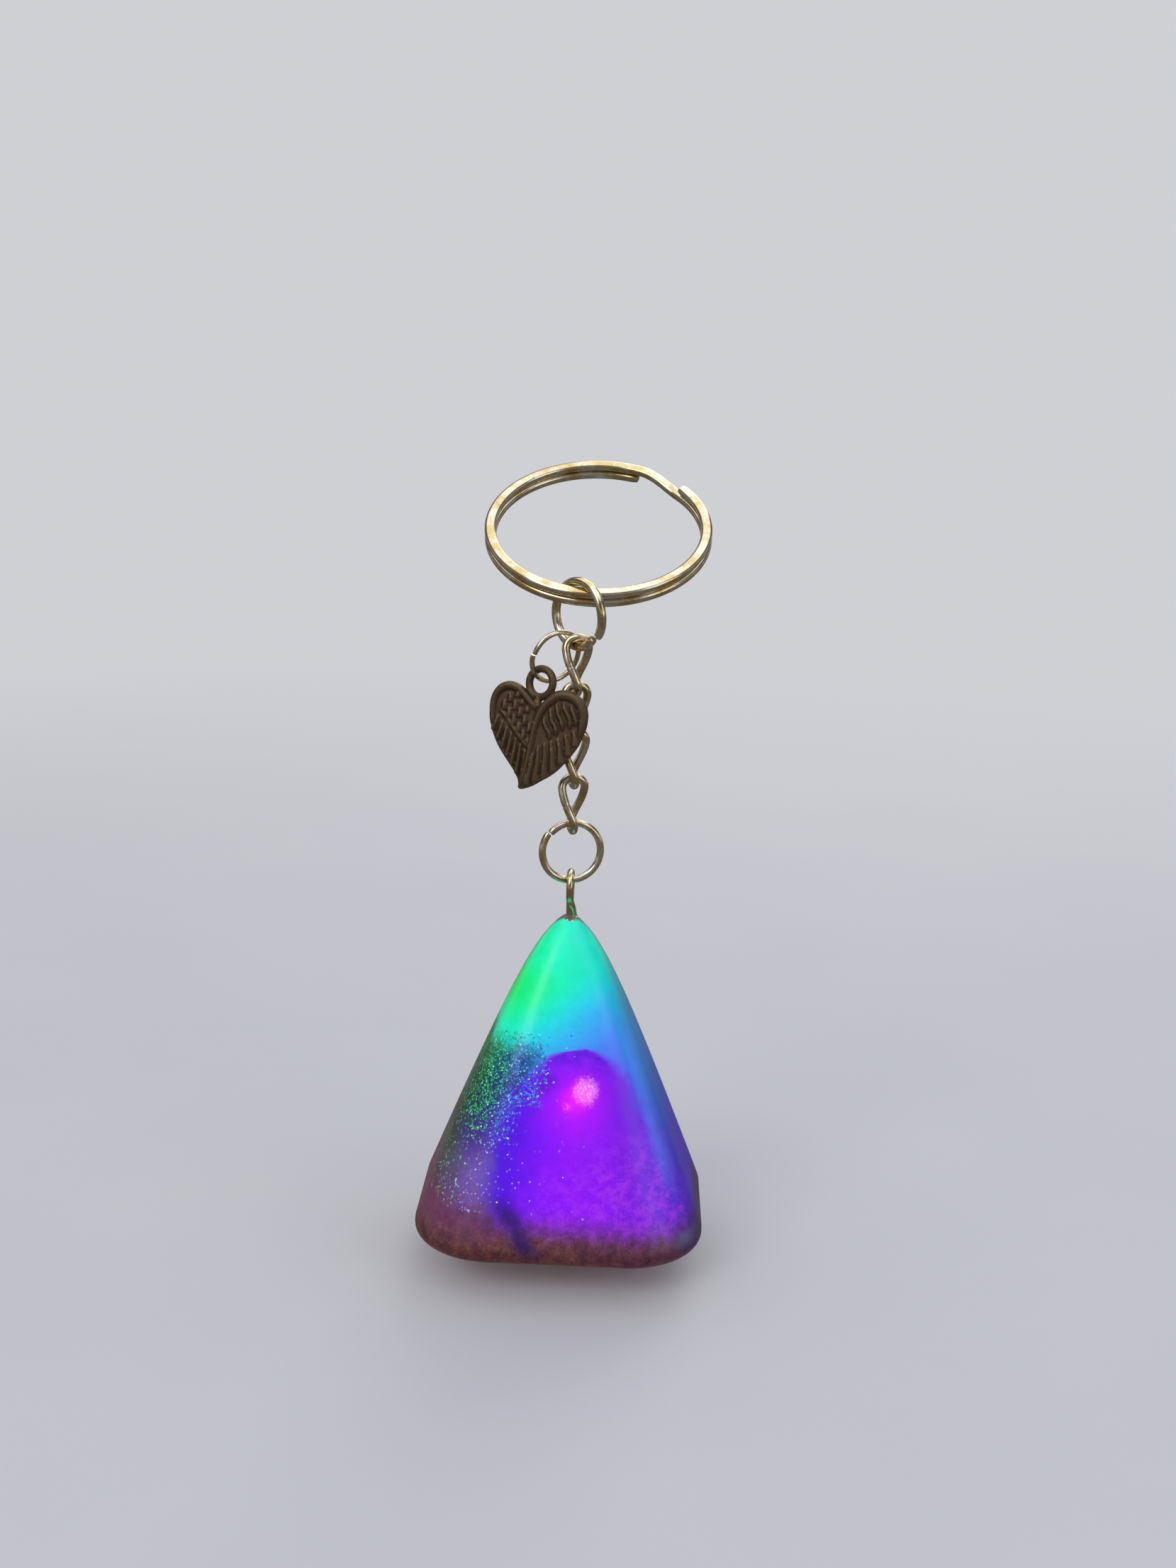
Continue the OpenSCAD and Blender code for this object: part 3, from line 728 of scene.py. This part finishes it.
def build_flakes():
    """Glitter flakes in the clear coat, as thin hexagonal plates that lie nearly along its faces."""
    rng = random.Random(11)
    verts, faces = [], []
    while len(verts) < 12 * FLAKES:
        spot = flake_spot(rng)
        if spot is None:
            continue
        pos, normal = spot
        normal = (normal.normalized() + Vector([rng.uniform(-0.35, 0.35) for _ in range(3)])).normalized()
        u = normal.orthogonal().normalized()
        v = normal.cross(u)
        size = rng.uniform(*FLAKE_R)
        spin = rng.uniform(0, math.pi)
        start = len(verts)
        for lift in (FLAKE_HALF_T, -FLAKE_HALF_T):
            for k in range(6):
                a = spin + k * math.pi / 3
                reach = u * math.cos(a) + v * math.sin(a) * rng.uniform(0.7, 1.0)
                verts.append(pos + reach * size + normal * lift)
        faces.append(tuple(start + k for k in range(6)))
        faces.append(tuple(start + 11 - k for k in range(6)))
        for k in range(6):
            after = (k + 1) % 6
            faces.append((start + k, start + 6 + k, start + 6 + after, start + after))
    return add_object("glitter_flakes", verts, faces, shade=False)


# ---------------------------------------------------------------- rings, links and the screw eye
def ring_verts(r, d, seam, gap, skew, n=150, m=22):
    """Open wire ring in the XZ plane. Its two cut ends sit a little out of line, by skew each."""
    path = []
    for i in range(n + 1):
        t = i / n
        a = math.radians(seam + gap / 2 + (360 - gap) * t)
        off = skew * (smooth(1 - t * 6) - smooth((t - 1) * 6 + 1))
        path.append(Vector((r * math.cos(a), off, r * math.sin(a))))
    return sweep(path, lambda i: Vector((0, 1, 0)), lambda i: circle(cut_end(i, n + 1, d / 2), m))


def build_link(name, z):
    n_arc, n_side = 28, 22
    flat = []
    for i in range(n_arc + 1):
        a = math.pi * i / n_arc
        flat.append((LINK_HW * math.cos(a), LINK_HALF - LINK_HW + LINK_HW * math.sin(a)))
    for i in range(1, n_side):
        flat.append((-LINK_HW, (LINK_HALF - LINK_HW) * (1 - 2 * i / n_side)))
    for i in range(n_arc + 1):
        a = math.pi + math.pi * i / n_arc
        flat.append((LINK_HW * math.cos(a), -LINK_HALF + LINK_HW + LINK_HW * math.sin(a)))
    for i in range(1, n_side):
        flat.append((LINK_HW, (LINK_HALF - LINK_HW) * (2 * i / n_side - 1)))
    def angle(h):
        return math.radians(90 * (1 - smooth(h / (2 * LINK_HALF) + 0.5)))
    path = [Vector((x * math.cos(angle(h)), x * math.sin(angle(h)), h)) for x, h in flat]
    normals = [Vector((-math.sin(angle(h)), math.cos(angle(h)), 0)) for x, h in flat]
    seam = n_arc + n_side // 2
    def section(i):
        return circle(LINK_D / 2 * (0.86 if i == seam else 1.0), 20)
    verts, faces = sweep(path, lambda i: normals[i], section, closed=True)
    return add_object(name, verts, faces, place((0, 0, z), (0, 0, LINK_YAW)))


def build_eye():
    """Screw eye: one wire that runs up from the thread and closes into a loop."""
    base = PYRAMID_H - SHANK_L - 0.1
    bend = EYE_C - EYE_R - 0.5
    path = [Vector((0, 0, base + (bend - base) * i / 150)) for i in range(151)]
    a0, a1 = -50.0, 247.0
    start = Vector((0, EYE_R * math.cos(math.radians(a0)), EYE_C + EYE_R * math.sin(math.radians(a0))))
    t0, t1 = Vector((0, 0, 1)), Vector((0, -math.sin(math.radians(a0)), math.cos(math.radians(a0))))
    p0, h = path[-1], 1.3
    for i in range(1, 10):
        t = i / 10
        path.append((2 * t ** 3 - 3 * t * t + 1) * p0 + (t ** 3 - 2 * t * t + t) * h * t0
                    + (-2 * t ** 3 + 3 * t * t) * start + (t ** 3 - t * t) * h * t1)
    for i in range(91):
        a = math.radians(a0 + (a1 - a0) * i / 90)
        path.append(Vector((0, EYE_R * math.cos(a), EYE_C + EYE_R * math.sin(a))))
    # the wire's thinner tail runs down beside the stem to the resin
    tail = [path[-1], Vector((0.2, -0.66, 42.9)), Vector((0.46, -0.5, 42.3)), Vector((0.6, -0.36, 41.7)),
            Vector((0.72, -0.3, 41.2)), Vector((0.95, -0.34, 40.85))]
    tail_at = len(path)
    path += spline(tail, 8)[1:]
    n = len(path)
    def section(i):
        z = path[i].z
        r = cut_end(i, n, EYE_D / 2) * (1 - 0.38 * smooth((i - tail_at) / 24))
        out = []
        for k in range(22):
            a = 2 * math.pi * k / 22
            rr = r
            if i < 150 and z < PYRAMID_H - 0.9:
                saw = ((z - base) / THREAD_P - k / 22) % 1.0
                rr = r + (THREAD_D - EYE_D) / 2 * (1 - abs(2 * saw - 1)) * smooth((z - base) / 1.5)
            out.append((rr * math.cos(a), rr * math.sin(a)))
        return out
    return add_object("screw_eye_wire", *sweep(path, lambda i: Vector((1, 0, 0)), section))


def build_key_ring():
    """Two flat coils. They run from the joggle round twice, and step up where they meet it."""
    n = 560
    joggle, end_gap, joggle_at = 0.035, 0.006, 55
    path, normals = [], []
    for i in range(n + 1):
        t = joggle + end_gap + (2 - 2 * joggle - 2 * end_gap) * i / n
        u = (t - 1 + joggle) / (2 * joggle)
        a = math.radians(joggle_at + 360 * t)
        path.append(Vector((KEY_R * math.cos(a), KEY_R * math.sin(a), KEY_HALF * (2 * smooth(u) - 1))))
        normals.append(Vector((math.cos(a), math.sin(a), 0)))
    def section(i):
        f = cut_end(i, n + 1, 1.0, 0.16, 3)
        return squircle(KEY_W * f, KEY_H * f, 0.85, 32)
    verts, faces = sweep(path, lambda i: normals[i], section)
    shift = math.radians(KEY_SHIFT)
    m = place((0, 0, KEY_Z), (KEY_TILT, 0, 0)) @ place((KEY_R * math.sin(shift), KEY_R * math.cos(shift), 0))
    return add_object("split_ring", verts, faces, m)


# ---------------------------------------------------------------- charm
LEFT_OUTLINE = [
    (0.2, 10.9), (-1.1, 11.9), (-2.1, 12.7), (-2.9, 13.3), (-3.8, 13.6), (-4.7, 13.6), (-5.6, 13.2),
    (-6.2, 12.6), (-6.6, 11.8), (-6.8, 10.8), (-6.7, 9.6), (-6.5, 8.5), (-6.1, 7.5), (-5.6, 6.5), (-4.8, 5.3),
    (-4, 4.4), (-3, 3.4), (-2, 2.4), (-1.3, 1.5), (-1, 0.8), (-0.3, 0.9), (0.4, 2.6), (0.6, 5.5), (0.6, 8.8)]
RIGHT_OUTLINE = [
    (-0.1, 11), (0.4, 11.8), (0.9, 12.5), (1.5, 13.2), (2.3, 13.6), (3.1, 13.8), (4.1, 13.7), (5.1, 13.3),
    (5.8, 12.8), (6.3, 12.1), (6.6, 11.2), (6.7, 10.1), (6.6, 9.1), (6.3, 7.9), (5.9, 6.8), (5.3, 5.7),
    (4.6, 4.6), (3.8, 3.5), (2.9, 2.6), (1.9, 1.8), (0.9, 1.0), (0, 0.5), (-0.6, 0.3), (-1.0, 0.6),
    (-0.8, 2.2), (-0.6, 4.4), (-0.5, 6.6), (-0.4, 9.2)]


def plate(outline, front, back, inset=0.12):
    """Closed plate of a 2D outline with chamfered edges."""
    pts = [Vector((p[0], p[1])) for p in spline([(x, z, 0) for x, z in outline], 5, closed=True)]
    n = len(pts)
    def offset(d):
        out = []
        for i, p in enumerate(pts):
            t = (pts[(i + 1) % n] - pts[i - 1]).normalized()
            out.append(p + Vector((-t.y, t.x)) * d)
        return out
    area = sum(pts[i - 1].x * pts[i].y - pts[i].x * pts[i - 1].y for i in range(n))
    sign = 1 if area > 0 else -1
    full, small = offset(0), offset(sign * inset)
    rings = [[Vector((p.x, -front, p.y)) for p in small], [Vector((p.x, -front + inset, p.y)) for p in full],
             [Vector((p.x, back - inset, p.y)) for p in full], [Vector((p.x, back, p.y)) for p in small]]
    return stack(rings)


def blade(points, widths, heights, y, n=7, m=14):
    """Rounded strip along points (x, z), lying at depth y. Its half width and half height vary along it,
    and both its ends round off."""
    path = spline([(x, y, z) for x, z in points], n)
    total = len(path)
    def at(values, i):
        t = i / (total - 1) * (len(values) - 1)
        j = min(int(t), len(values) - 2)
        return values[j] + (values[j + 1] - values[j]) * (t - j)
    def section(i):
        e = i / (total - 1)
        last = math.sqrt(max(1 - max(0.0, (e - 0.9) / 0.1) ** 2, 0.02))
        first = math.sqrt(max(1 - max(0.0, (0.06 - e) / 0.06) ** 2, 0.02))
        end = last * first
        w, h = at(widths, i) * end, at(heights, i) * end
        return [(h * math.cos(2 * math.pi * k / m), w * math.sin(2 * math.pi * k / m)) for k in range(m)]
    return sweep(path, lambda i: Vector((0, -1, 0)), section)


def left_wing(y):
    """Rim over the lobe, shoulder ridge, long feathers and short feathers, at depth y."""
    parts = []
    parts.append(blade([(-0.3, 10.7), (-1.3, 11.5), (-2.4, 12.4), (-3.4, 13.0), (-4.5, 13.1),
                        (-5.4, 12.7), (-6.05, 11.8), (-6.3, 10.7), (-6.25, 9.6), (-6.05, 8.6), (-5.85, 7.8)],
                       [0.3, 0.38, 0.42, 0.46, 0.48, 0.48, 0.44, 0.4, 0.36, 0.3, 0.2],
                       [0.28, 0.32, 0.34, 0.36, 0.36, 0.36, 0.34, 0.32, 0.3, 0.26, 0.16], y))
    parts.append(blade([(-5.3, 9.9), (-4.3, 9.2), (-3.3, 8.2), (-2.2, 7.1), (-1.2, 6.2), (-0.6, 5.6)],
                       [0.2, 0.26, 0.28, 0.28, 0.24, 0.18], [0.12, 0.2, 0.22, 0.22, 0.18, 0.1], y))
    for i in range(7):
        top = (-5.35 + 0.74 * i, 9.0 - 0.58 * i)
        low = (-5.8 + 0.84 * i, 7.0 - 1.0 * i)
        middle = (0.5 * (top[0] + low[0]) + 0.06, 0.5 * (top[1] + low[1]))
        parts.append(blade([top, middle, low], [0.15, 0.25, 0.3], [0.16, 0.3, 0.32], y))
    for x0, z0, length, count in ((-4.85, 11.1, 1.2, 6), (-4.2, 12.15, 1.15, 5), (-3.3, 12.5, 0.7, 3)):
        for i in range(count):
            a = (x0 + 0.8 * i, z0 - 0.85 * i)
            b = (a[0] + 0.1, a[1] - length)
            parts.append(blade([a, (a[0] + 0.16, a[1] - length * 0.5), b],
                               [0.14, 0.3, 0.34], [0.12, 0.26, 0.24], y))
    return parts


def right_wing(y):
    """Rim from the tip up the middle, over the lobe and down the side; long and short feathers."""
    parts = []
    parts.append(blade([(-0.62, 0.75), (-0.4, 2.5), (-0.28, 4.35), (-0.18, 6.4), (-0.05, 8.5),
                        (0.25, 10.1), (0.8, 11.3), (1.5, 12.2), (2.3, 12.85), (3.2, 13.1), (4.1, 13.05),
                        (5.0, 12.65), (5.7, 11.9), (6.05, 11.0), (6.2, 10.0), (6.15, 9.0), (5.95, 8.2)],
                       [0.26, 0.3, 0.32, 0.34, 0.36, 0.42, 0.48, 0.52, 0.54, 0.54, 0.52, 0.5, 0.46, 0.44,
                        0.42, 0.38, 0.24],
                       [0.22, 0.26, 0.28, 0.28] + [0.3] * 11 + [0.28, 0.18], y))
    roots = [(0.25, 5.2), (0.85, 6.2), (1.6, 6.7), (2.4, 7.1), (3.25, 7.6), (4.15, 8.2), (5.1, 8.9)]
    tips = [(0.1, 0.85), (1.15, 1.4), (2.3, 2.2), (3.35, 3.2), (4.25, 4.35), (5.05, 5.6), (5.75, 7.0)]
    for top, low in zip(roots, tips):
        m1 = (top[0] * 0.62 + low[0] * 0.38 + 0.12, top[1] * 0.62 + low[1] * 0.38)
        m2 = (top[0] * 0.25 + low[0] * 0.75 + 0.04, top[1] * 0.25 + low[1] * 0.75)
        parts.append(blade([top, m1, m2, low], [0.14, 0.28, 0.38, 0.46], [0.14, 0.24, 0.28, 0.28], y))
    for line in ([(0.95, 9.8), (1.2, 9.2), (1.6, 8.6), (2.0, 8.1), (2.2, 7.3)],
                 [(1.6, 11.1), (1.9, 10.3), (2.2, 9.6), (2.65, 9.1), (2.9, 8.6), (2.9, 7.9)],
                 [(2.3, 11.9), (2.6, 11.2), (2.9, 10.5), (3.3, 10.0), (3.6, 9.4), (3.7, 8.7)],
                 [(3.2, 12.2), (3.55, 11.5), (4.0, 10.9), (4.4, 10.4), (4.6, 9.7), (4.65, 9.1)],
                 [(4.25, 12.1), (4.6, 11.4), (5.0, 10.8), (5.3, 10.2), (5.4, 9.6)]):
        n = len(line)
        parts.append(blade(line, [0.14] + [0.27] * (n - 2) + [0.16],
                           [0.16] + [0.34] * (n - 2) + [0.18], y))
    return parts


def bail():
    """Heavy ring behind the notch, on a short slanting boss."""
    m = place(BAIL_C, (0, 0, BAIL_YAW))
    n = 64
    path = [m @ Vector((BAIL_R * math.cos(2 * math.pi * i / n), 0, BAIL_R * math.sin(2 * math.pi * i / n)))
            for i in range(n)]
    axis = m.to_3x3() @ Vector((0, 1, 0))
    ring = sweep(path, lambda i: axis, lambda i: circle(BAIL_D / 2, 18), closed=True)
    foot = Vector((-0.35, -0.1, 10.9))
    top = Vector(BAIL_C) - Vector((0, 0, BAIL_R))
    boss = sweep([foot.lerp(top, i / 8) for i in range(9)], lambda i: Vector((1, 0, 0)),
                 lambda i: circle(BAIL_D / 2, 18))
    return [ring, boss]


def charm_parts():
    """Plates and relief. Depths run from the charm's middle plane; the right wing laps over the left,
    and the back's relief is shallower than the front's."""
    plates = [plate(LEFT_OUTLINE, 0.4, 0.4), plate(RIGHT_OUTLINE, 0.66, 0.12)]
    front = left_wing(-0.44) + right_wing(-0.7)
    back = left_wing(0.24) + right_wing(0.0)
    return plates + front + back + bail()


def build_charm():
    verts, faces = [], []
    for v, f in charm_parts():
        start = len(verts)
        verts += v
        faces += [tuple(start + i for i in face) for face in f]
    obj = add_object("winged_heart", verts, faces)
    bpy.context.view_layer.objects.active = obj
    remesh = obj.modifiers.new("cast", "REMESH")
    remesh.mode = "VOXEL"
    remesh.voxel_size = CAST_VOXEL * MM
    remesh.use_smooth_shade = True
    relax = obj.modifiers.new("relax", "SMOOTH")
    relax.factor = 0.5
    relax.iterations = 3
    for mod in list(obj.modifiers):
        with bpy.context.temp_override(object=obj, active_object=obj, selected_objects=[obj]):
            bpy.ops.object.modifier_apply(modifier=mod.name)
    for p in obj.data.polygons:
        p.use_smooth = True
    # the move is in millimetres
    obj.data.transform(Matrix.Diagonal((1 / MM,) * 3).to_4x4())
    obj.data.transform(place(CHARM_POS, CHARM_ROT))
    obj.data.transform(Matrix.Diagonal((MM,) * 3).to_4x4())
    return obj


# ---------------------------------------------------------------- assembly
MATERIALS = {
    "ring_metal": plated_metal("ring_metal", rgb(234, 228, 202), rgb(212, 190, 134),
                               rgb(104, 82, 56), 0.15),
    "chain_metal": plated_metal("chain_metal", rgb(238, 230, 208), rgb(212, 190, 142),
                                rgb(110, 90, 68), 0.17),
    "antique_bronze": antique_bronze("antique_bronze"),
    "glow_resin": glowing_resin("glow_resin"),
    "violet_resin": glowing_resin("violet_resin"),
    "bronze_resin": glowing_resin("bronze_resin"),
    "clear_resin": clear_coat("clear_resin"),
    "glitter": glitter("glitter"),
}


def fit(obj, body, slot, material, *nodes):
    obj.data.materials.clear()
    obj.data.materials.append(MATERIALS[material])
    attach(obj, body)
    if nodes:
        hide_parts(*nodes)


fit(build_key_ring(), "key_ring", "ring_metal", "ring_metal", "key_ring")
large = add_object("large_ring_wire", *ring_verts(TOP_R, TOP_D, seam=-40, gap=4, skew=0.3),
                   place((0, 0, TOP_C), (0, 0, TOP_YAW)))
fit(large, "large_jump_ring", "ring_metal", "ring_metal", "large_jump_ring")
small = add_object("charm_ring_wire", *ring_verts(SMALL_R, SMALL_D, seam=165, gap=3, skew=0.1),
                   place(SMALL_POS, SMALL_ROT))
fit(small, "charm_ring", "chain_metal", "chain_metal", "charm_jump_ring")
for number, level in enumerate(LINK_CS, 1):
    fit(build_link(f"link_{number}_wire", level), f"link_{number}", "chain_metal", "chain_metal",
        f"chain_link_{number}")
low = add_object("pendant_ring_wire", *ring_verts(LOW_R, LOW_D, seam=140, gap=4, skew=0.24),
                 place((0, 0, LOW_C), (0, 0, LINK_YAW)))
fit(low, "pendant_ring", "chain_metal", "chain_metal", "pendant_jump_ring")
fit(build_eye(), "pendant", "chain_metal", "chain_metal", "screw_eye")
fit(build_charm(), "charm", "antique_bronze", "antique_bronze", "wing_charm")
resin_tip, resin_middle, resin_foot = build_pyramid()
fit(resin_tip, "pendant", "glow_resin", "glow_resin", "glow_tip")
fit(resin_middle, "pendant", "violet_resin", "violet_resin", "violet_middle")
fit(resin_foot, "pendant", "bronze_resin", "bronze_resin", "bronze_base")
fit(build_coat(), "pendant", "clear_resin", "clear_resin", "clear_coat")
fit(build_flakes(), "pendant", "glow_resin", "glitter")


# ---------------------------------------------------------------- studio
BACKDROP = (0.62, 0.63, 0.66, 1.0)
GLOSSY_FLOOR = (0.14, 0.12, 0.11, 1.0)
FLOOR_Z, FLOOR_R = -5.0, 2500.0
NEAR_FLOOR, FAR_FLOOR = 110.0, 520.0
LAMPS = (("key", (-0.32, -0.42, 0.42), 0.34, 0.8),
         ("fill", (0.45, -0.30, 0.22), 0.34, 0.3),
         ("rim", (0.10, 0.45, 0.36), 0.3, 0.5))
LAMP_AIM = Vector((0, 0, 0.06))


def build_floor():
    """Pale matte floor that fades into the backdrop. Reflections see it darker."""
    g = new_material("studio_floor")
    pos = g.place_mm()
    x, y, _ = g.split(pos)
    tone = g.mix(g.noise(pos, 0.02, 3.0, 0.5), rgb(206, 206, 211), rgb(212, 212, 215))
    matte = g.add("ShaderNodeBsdfPrincipled", {"Base Color": tone, "Roughness": 0.75,
                                               "Specular IOR Level": 0.2}).outputs[0]
    far = g.add("ShaderNodeEmission", {"Color": BACKDROP, "Strength": 1.0}).outputs[0]
    dim = g.add("ShaderNodeEmission", {"Color": GLOSSY_FLOOR, "Strength": 1.0}).outputs[0]
    away = g.step(g.distance(x, y), NEAR_FLOOR, FAR_FLOOR)
    ground = g.add("ShaderNodeMixShader", {0: away, 1: matte, 2: far}).outputs[0]
    glossy = g.add("ShaderNodeLightPath").outputs["Is Glossy Ray"]
    g.output(g.add("ShaderNodeMixShader", {0: glossy, 1: ground, 2: dim}).outputs[0])
    verts = [Vector((x, y, FLOOR_Z)) for x, y in circle(FLOOR_R, 96)]
    floor = add_object("floor", verts, [tuple(range(len(verts)))], shade=False)
    floor.data.materials.append(g.owner)


def build_world():
    """Even backdrop. Reflections see bands instead: a bright horizon and a bright ceiling."""
    g = Graph(bpy.data.worlds.new("studio"))
    up = g.split(g.add("ShaderNodeTexCoord").outputs["Generated"])[2]
    bands = g.ramp(up, -1.0, 1.0, [
        (-1.0, (0.10, 0.09, 0.09, 1)), (-0.06, (0.14, 0.12, 0.12, 1)), (0.08, (0.50, 0.48, 0.46, 1)),
        (0.24, (0.09, 0.08, 0.10, 1)), (0.6, (0.14, 0.13, 0.16, 1)), (0.76, (1.3, 1.3, 1.35, 1)),
        (1.0, (1.4, 1.4, 1.45, 1))])
    glossy = g.add("ShaderNodeLightPath").outputs["Is Glossy Ray"]
    background = g.add("ShaderNodeBackground", {"Color": g.mix(glossy, BACKDROP, bands), "Strength": 1.0})
    bpy.context.scene.world = g.output(background.outputs[0], "ShaderNodeOutputWorld")


def build_lamps():
    for name, at, size, power in LAMPS:
        light = bpy.data.lights.new(name, "AREA")
        light.shape, light.size, light.energy = "DISK", size, power
        lamp = bpy.data.objects.new(name, light)
        lamp.location = at
        lamp.rotation_mode = "QUATERNION"
        lamp.rotation_quaternion = (LAMP_AIM - Vector(at)).to_track_quat("-Z", "Y")
        bpy.context.scene.collection.objects.link(lamp)


def build_camera():
    """Camera that looks down a little on the front, with a slight roll."""
    az, el, roll = math.radians(1.46), math.radians(13.28), math.radians(1.79)
    target, distance = Vector((1.877, 0, 58.96)), 220.02
    away = Vector((math.sin(az) * math.cos(el), -math.cos(az) * math.cos(el), math.sin(el)))
    ahead = -away
    right = ahead.cross(UP).normalized()
    top = right.cross(ahead)
    rolled_right = right * math.cos(roll) + top * math.sin(roll)
    rolled_top = -right * math.sin(roll) + top * math.cos(roll)
    data = bpy.data.cameras.new("camera")
    data.sensor_fit = "AUTO"
    data.sensor_width = 36.0
    data.lens = 39.05967
    data.clip_start, data.clip_end = 0.01, 20.0
    cam = bpy.data.objects.new("camera", data)
    rot = Matrix((rolled_right, rolled_top, away)).transposed().to_4x4()
    cam.matrix_world = Matrix.Translation((target + away * distance) * MM) @ rot
    bpy.context.scene.collection.objects.link(cam)
    bpy.context.scene.camera = cam


build_floor()
build_world()
build_lamps()
build_camera()
bpy.context.scene.view_settings.view_transform = "Standard"
bpy.context.scene.view_settings.look = "None"
